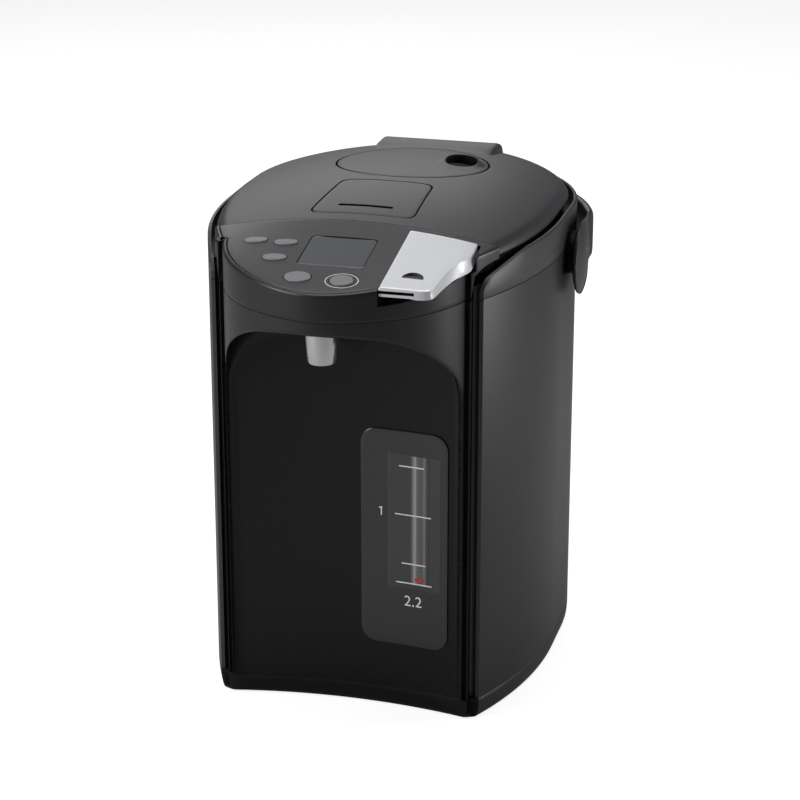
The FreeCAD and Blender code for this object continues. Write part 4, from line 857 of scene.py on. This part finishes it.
# Hinge boss: it grows out of the lid's rear edge, is moulded in one with the lid, and wraps the
# steel hinge pin.
BARREL, BARREL_HALF, BARREL_END, BARREL_DROP, RAMP = 9.6, 35.8, 2.8, 2.2, 30
rows = []
sections = [0, 0.3, 1.2, 2.8, 6, 14, 24]
for x in [-BARREL_HALF + s for s in sections] + [BARREL_HALF - s for s in reversed(sections)]:
    near = BARREL_HALF - abs(x)
    shrink = BARREL_DROP * (1 - math.sqrt(max(0, 1 - (1 - min(near / BARREL_END, 1)) ** 2)))
    ramp = RAMP - shrink * 2
    row = [(x, hinge_y - ramp, 258)]
    row.append((x, hinge_y - ramp, lid_height(x, hinge_y - ramp) - 0.4))
    for i in range(1, 7):
        share = i / 7
        ease = eased(share)
        y = blend_value(hinge_y - ramp, hinge_y - 8, share)
        row.append((x, y, blend_value(lid_height(x, y) - 0.4, hinge_z + BARREL - shrink, ease)))
    for i in range(17):
        turn = blend_value(math.pi / 2, -math.pi / 2, i / 16)
        row.append((x, hinge_y + (BARREL - shrink) * math.cos(turn),
                    hinge_z + (BARREL - shrink) * math.sin(turn)))
    row.append((x, hinge_y - 10, hinge_z - 4))
    row.append((x, hinge_y - 14, 256))
    rows.append(row)
boss = loft("lid boss", rows, DECK_BLACK, cap_first=True, cap_last=True, angle=40)
stands_for(boss, "lid", "satin_black")

# Bail handle: a moulded band round the rear that widens to a domed ear at each side. The ears
# turn on pivots in the shell.
HANDLE_BLACK = surface("handle black", (0.022, 0.022, 0.024), 0.4, scale=1200, bump=0.05, spec=0.45)
BAIL_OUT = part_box("handle_bail")[1][0] / MM
BAIL_THICK = 5
pivot_low, pivot_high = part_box("handle_pivots")
PIVOT_Y = ((pivot_low[1] + pivot_high[1]) / 2 - AXIS_Y) / MM
PIVOT_Z = (pivot_low[2] + pivot_high[2]) / 2 / MM
EAR, EAR_DROP, NECK, GRIP_HALF, GRIP_RAISE = 20.5, 2.5, 44, 12, 3


def band(y):
    """Half height and centre height of the handle at a depth beside the pot."""
    if y <= PIVOT_Y:
        half = math.sqrt(max(EAR ** 2 - (y - PIVOT_Y) ** 2, 0.01))
        return half, PIVOT_Z - EAR_DROP
    ease = eased(min((y - PIVOT_Y) / NECK, 1))
    return (blend_value(EAR, GRIP_HALF, ease),
            blend_value(PIVOT_Z - EAR_DROP, PIVOT_Z + GRIP_RAISE, ease))


half_thick = BAIL_THICK / 2
middle = BAIL_OUT - half_thick
track = []
for i in range(17):
    turn = i / 16 * math.pi / 2
    track.append(((1, 0), (middle, PIVOT_Y - EAR * math.cos(turn) * 0.999)))
track += [((1, 0), (middle, PIVOT_Y * (1 - i / 4))) for i in range(1, 4)]
track += [((math.cos(t), math.sin(t)), (middle * math.cos(t), middle * math.sin(t)))
          for t in [math.pi * i / 64 for i in range(65)]]
track += [((-n[0], n[1]), (-p[0], p[1])) for n, p in reversed(track[:20])]
rows = []
for (nx, ny), (px, py) in track:
    half, centre = band(py)
    row = []
    for i in range(32):
        turn = 2 * math.pi * i / 32
        c, s = math.cos(turn), math.sin(turn)
        up = math.copysign(abs(s) ** 0.35, s) * half
        reach = min(1, math.hypot(py - PIVOT_Y, up) / EAR) if py < PIVOT_Y + 30 and abs(nx) > 0.95 else 0
        dome = 1 - 1.3 * reach ** 2.4 if c > 0 else 1 - 0.25 * reach ** 4
        across = math.copysign(abs(c) ** 0.45, c) * half_thick * dome
        across *= min(1, 0.35 + half / 9)
        row.append((px + nx * across, py + ny * across, centre + up))
    rows.append(row)
bail = loft("handle bail", rows, HANDLE_BLACK, cap_first=True, cap_last=True, angle=60)
stands_for(bail, "handle", "satin_black", "handle_bail")

# Nozzle: a short plated spout, pressed into the roof of the bay, with a small moulded guard fin
# beside it.
NOZZLE = surface("nozzle steel", (0.62, 0.62, 0.63), 0.26, grain=0.03, scale=900, metal=0.9, bump=0.0,
                 tone=0.04, edge=0.0)
nozzle_low, nozzle_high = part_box("spout_nozzle")
NOZZLE_Y = ((nozzle_low[1] + nozzle_high[1]) / 2 - AXIS_Y) / MM
NOZZLE_Z = nozzle_low[2] / MM
NOZZLE_PROFILE = [(4.4, 6), (4.4, 0.6), (5.0, 0.0), (6.4, 0.0), (7.0, 0.35), (7.25, 1.0), (7.9, 8),
                  (8.3, 13), (8.5, 18.8)]
rows = [[(x, y, NOZZLE_Z + z) for x, y in oval(0, NOZZLE_Y, radius, radius, 64)]
        for radius, z in NOZZLE_PROFILE]
stands_for(loft("nozzle", rows, NOZZLE), "pot", "nozzle_silver", "spout_nozzle")
FIN, FIN_HALF = [(9.5, 229), (9.5, 225.5), (16, 219.5), (19, 218.2), (24, 224), (28, 229)], 1.2
rows = [[(x, NOZZLE_Y + dy, z) for x, z in FIN] for dy in (-FIN_HALF, FIN_HALF)]
stands_for(loft("nozzle guard", rows, TRIM_BLACK, cap_first=True, cap_last=True), "pot", "black_plastic")

# Water gauge: a smoked plastic plate on the bay wall with a paler window over the glass tube.
# Ticks and plain numbers are printed on it, and two coloured marks show the lowest level.
GAUGE, WINDOW, TUBE = (7, 56, 38.5, 162), (22, 52, 72, 149), (34.8, 45.4, 75, 148.5)


def on_bay(x, z, lift):
    """A point of the gauge, lifted off the bay wall toward the front."""
    return (x, bay_y(x) - lift, z)


def gauge_sheet(name, outline, low_lift, lift, material, rings=10, edge=0.5):
    """A sheet with a rounded edge that follows the bay wall."""
    cx = sum(p[0] for p in outline) / len(outline)
    cz = sum(p[1] for p in outline) / len(outline)
    rows = [[on_bay(x, z, low_lift) for x, z in outline]]
    for i in range(5):
        turn = i / 4 * math.pi / 2
        inward, down = edge * (1 - math.cos(turn)), edge * (1 - math.sin(turn))
        row = []
        for x, z in outline:
            share = 1 - inward / max(math.hypot(x - cx, z - cz), 0.01)
            row.append(on_bay(cx + (x - cx) * share, cz + (z - cz) * share, lift - down))
        rows.append(row)
    for i in range(1, rings):
        share = 1 - i / rings * 0.98
        rows.append([on_bay(cx + (x - cx) * share, cz + (z - cz) * share, lift) for x, z in outline])
    return loft(name, rows, material, cap_last=True)


gauge_material = surface("smoked plate", (0.012, 0.0125, 0.013), 0.2, grain=0.03, bump=0.0, coat=0.6,
                         edge=0.0, tone=0.2)
window_material = surface("gauge window", (0.03, 0.031, 0.033), 0.24, grain=0.03, bump=0.0, coat=0.5,
                          edge=0.0)
outline = fine(rounded(*GAUGE, 8.5), 2)
stands_for(gauge_sheet("gauge plate", outline, 0.05, 0.9, gauge_material), "pot", "gloss_black",
           "gauge_plate")
window = fine(rounded(*WINDOW, 1.5), 2)
stands_for(gauge_sheet("gauge window", window, 0.7, 1.0, window_material, edge=0.1), "pot", "gloss_black")


def tube_painted_light():
    """A glass tube against its backing, with painted light across its width: two bright painted
    highlights, a dim middle and dark painted shade at its flanks.
    """
    material, nodes, links, principled = node_tree("gauge tube painted light")
    place = nodes.new("ShaderNodeTexCoord")
    split = nodes.new("ShaderNodeSeparateXYZ")
    links.new(place.outputs["Object"], split.inputs["Vector"])
    across = nodes.new("ShaderNodeMapRange")
    across.inputs["From Min"].default_value = (TUBE[0] + 0.1) * MM
    across.inputs["From Max"].default_value = (TUBE[1] - 0.3) * MM
    links.new(split.outputs["X"], across.inputs["Value"])
    ramp = nodes.new("ShaderNodeValToRGB")
    ramp.color_ramp.elements[0].color = (0.02, 0.02, 0.022, 1)
    ramp.color_ramp.elements[1].color = (0.02, 0.02, 0.022, 1)
    for at, tone in [(0.14, 0.16), (0.24, 0.33), (0.36, 0.10), (0.62, 0.07), (0.78, 0.16), (0.86, 0.05)]:
        stop = ramp.color_ramp.elements.new(at)
        stop.color = (tone, tone, tone * 1.03, 1)
    links.new(across.outputs["Result"], ramp.inputs["Fac"])
    links.new(ramp.outputs["Color"], principled.inputs["Base Color"])
    principled.inputs["Roughness"].default_value = 0.25
    principled.inputs["Coat Weight"].default_value = 0.6
    return material


# The tube's face carries painted highlights and painted shade in its colour.
tube = fine(rounded(*TUBE, 1.0), 1)
stands_for(gauge_sheet("gauge tube painted light face", tube, 0.8, 1.1, tube_painted_light(), edge=0.1), "pot",
           "glass_clear")
PRINT_LIFT, TICK_HALF = 1.25, 0.35


def mark(name, x_low, x_high, z_low, z_high, material):
    """A printed bar on the gauge."""
    rows = []
    for z in (z_low, z_high):
        rows.append([on_bay(blend_value(x_low, x_high, i / 12), z, PRINT_LIFT) for i in range(13)])
    return stands_for(loft(name, rows, material, around=False), "pot", "gloss_black")


for x_low, x_high, z in [(28.5, 42.5, 142.4), (26.3, 46.5, 114.9), (30, 43.5, 86.9), (26.8, 47, 75.6)]:
    mark("tick", x_low, x_high, z - TICK_HALF, z + TICK_HALF, PRINT)
red = surface("red mark", (0.45, 0.03, 0.02), 0.4, edge=0.0)
green = surface("green mark", (0.04, 0.2, 0.07), 0.4, edge=0.0)
mark("low mark", 37.4, 42.4, 77.2, 79.2, red)
mark("low mark cap", 38.4, 41.4, 81.4, 82.4, green)


def number(text, x, z, size_mm):
    """A plain printed number, wrapped on to the gauge."""
    curve = bpy.data.curves.new("number " + text, "FONT")
    curve.body = text
    curve.size = size_mm * MM
    curve.align_x = "CENTER"
    letters = placed("number " + text, curve)
    graph = bpy.context.evaluated_depsgraph_get()
    mesh = bpy.data.meshes.new_from_object(letters.evaluated_get(graph))
    bpy.data.objects.remove(letters)
    for vertex in mesh.vertices:
        px, pz = vertex.co.x / MM + x, vertex.co.y / MM + z
        vertex.co = (px * MM, (bay_y(px) - PRINT_LIFT) * MM + AXIS_Y, pz * MM)
    mesh.materials.clear()
    mesh.materials.append(PRINT)
    stands_for(placed("number_" + text, mesh), "pot", "gloss_black")


number("1", 18.6, 113, 7.5)
mark("flag of the 1", 17.2, 18.8, 117.0, 117.7, PRINT)
number("2.2", 36.5, 62.3, 8.6)

# Pieces inside the pot, behind the mouldings or too small to need more: their solids' own shape is
# kept, merged and smoothed, with the finish of the real piece.
STEEL = surface("steel", (0.6, 0.6, 0.6), 0.3, scale=400, streak=(1, 1, 10), metal=1.0)
RUBBER = surface("rubber", (0.012, 0.012, 0.012), 0.8, scale=700, bump=0.1, spec=0.2)
WHITE_PLASTIC = surface("white plastic", (0.6, 0.61, 0.62), 0.5, scale=900)
GREEN_BOARD = surface("board", (0.02, 0.09, 0.04), 0.5, scale=300)


def from_cad(node, body, slot, material, angle):
    """A merged and smoothed copy of a CAD node, for pieces whose CAD shape is already fine."""
    mesh = frame["nodes"][node].data.copy()
    build = bmesh.new()
    build.from_mesh(mesh)
    bmesh.ops.remove_doubles(build, verts=build.verts, dist=2e-6)
    build.to_mesh(mesh)
    build.free()
    mesh.materials.clear()
    mesh.materials.append(material)
    mesh.shade_smooth()
    mesh.set_sharp_from_angle(angle=math.radians(angle))
    return stands_for(placed(node + "_finish", mesh), body, slot, node)


PLAIN = {
    CORNER_BLACK: ["corner_strips"],
    TRIM_BLACK: ["top_frame", "lid_tray", "lid_latch", "power_inlet", "pump_housing", "impeller",
                 "key_switches", "heater_posts", "handle_hubs"],
    STEEL: ["inner_vessel", "vacuum_jacket", "heater_plate", "lever_pin", "hinge_pin", "handle_pivots",
            "base_screws", "pump_motor", "thermistor", "inlet_pins", "inner_lid"],
    RUBBER: ["rubber_feet", "lid_gasket", "inlet_pipe", "riser_pipe"],
    WHITE_PLASTIC: ["gauge_backing", "display_module", "gauge_tube"],
    red: ["level_marker"],
    GREEN_BOARD: ["control_board", "power_board"],
}
FLAT_ANGLE, ROUND_ANGLE = 12, 30
slots = {part["node"]: part["material_slot"] for part in frame["record"]["subparts"]}
body_of = {node: body for body, nodes in frame["record"]["behaviour"]["bodies"].items() for node in nodes}
for material, names in PLAIN.items():
    for name in names:
        angle = FLAT_ANGLE if name == "inner_lid" else ROUND_ANGLE
        from_cad(name, body_of[name], slots[name], material, angle)

# Studio: a pale floor and a white background, an overhead lamp, a low window behind the pot, a
# large lamp at the left front and a strip at the right rear, and the camera of the photograph.
floor_mesh = bpy.data.meshes.new("floor")
FLOOR_HALF = 4
floor_mesh.from_pydata([(x, y, 0) for x, y in oblong(-FLOOR_HALF, FLOOR_HALF, -FLOOR_HALF, FLOOR_HALF)],
                       [], [(0, 1, 2, 3)])
floor = placed("floor", floor_mesh)
floor_material = surface("floor", (0.5, 0.5, 0.5), 0.9, grain=0.02, bump=0.0, edge=0.0, tone=0.01,
                         spec=0.0)
floor_shader = floor_material.node_tree.nodes["Principled BSDF"]
floor_shader.inputs["Emission Color"].default_value = (1, 1, 1, 1)
seen = floor_material.node_tree.nodes.new("ShaderNodeLightPath")
glow = floor_material.node_tree.nodes.new("ShaderNodeMath")
glow.operation = "MULTIPLY"
FLOOR_GLOW = 0.8
glow.inputs[1].default_value = FLOOR_GLOW
floor_material.node_tree.links.new(seen.outputs["Is Camera Ray"], glow.inputs[0])
floor_material.node_tree.links.new(glow.outputs["Value"], floor_shader.inputs["Emission Strength"])
floor_mesh.materials.append(floor_material)

WORLD_GREY = (0.14, 0.14, 0.145, 1)
world = bpy.data.worlds.new("studio")
bpy.context.scene.world = world
world.use_nodes = True
nodes, links = world.node_tree.nodes, world.node_tree.links
background = nodes["Background"]
rays = nodes.new("ShaderNodeLightPath")
either = nodes.new("ShaderNodeMath")
either.operation = "MAXIMUM"
links.new(rays.outputs["Is Camera Ray"], either.inputs[0])
links.new(rays.outputs["Is Transmission Ray"], either.inputs[1])
tone = nodes.new("ShaderNodeMix")
tone.data_type = "RGBA"
tone.inputs["A"].default_value = WORLD_GREY
tone.inputs["B"].default_value = (1, 1, 1, 1)
links.new(either.outputs["Value"], tone.inputs["Factor"])
links.new(tone.outputs["Result"], background.inputs["Color"])


def lamp(name, place, target, width, height, power):
    """A soft lamp that faces its target, in metres and watts."""
    light = bpy.data.lights.new(name, "AREA")
    light.shape = "RECTANGLE"
    light.size, light.size_y = width, height
    light.energy = power
    item = placed(name, light)
    item.location = place
    item.rotation_euler = (Vector(target) - Vector(place)).to_track_quat("-Z", "Y").to_euler()


lamp("overhead", (-0.1, 0.15, 1.35), (0, 0, 0.25), 1.0, 0.8, 9)
lamp("rear window", (-0.6, 1.6, 0.85), (0, 0, 0.26), 0.9, 0.5, 2.6)
lamp("left front", (-1.1, -0.9, 0.7), (0, 0, 0.2), 0.5, 0.9, 15)
lamp("right strip", (1.15, 0.3, 0.35), (0, 0.02, 0.14), 0.25, 0.9, 8)

camera = bpy.data.cameras.new("camera")
SENSOR, FOCAL_PIXELS, PICTURE_PIXELS = 36, 2464.9, 800
camera.sensor_width = SENSOR
camera.lens = SENSOR * FOCAL_PIXELS / PICTURE_PIXELS
eye = placed("camera", camera)
EYE, AIM = (338.1, -1294.7, 615.4), (11.0, -57.9, 153.7)
eye.location = (EYE[0] * MM, EYE[1] * MM + AXIS_Y, EYE[2] * MM)
aim = Vector((AIM[0] * MM, AIM[1] * MM + AXIS_Y, AIM[2] * MM))
eye.rotation_euler = (aim - eye.location).to_track_quat("-Z", "Y").to_euler()
bpy.context.scene.camera = eye
bpy.context.scene.view_settings.view_transform = "Standard"
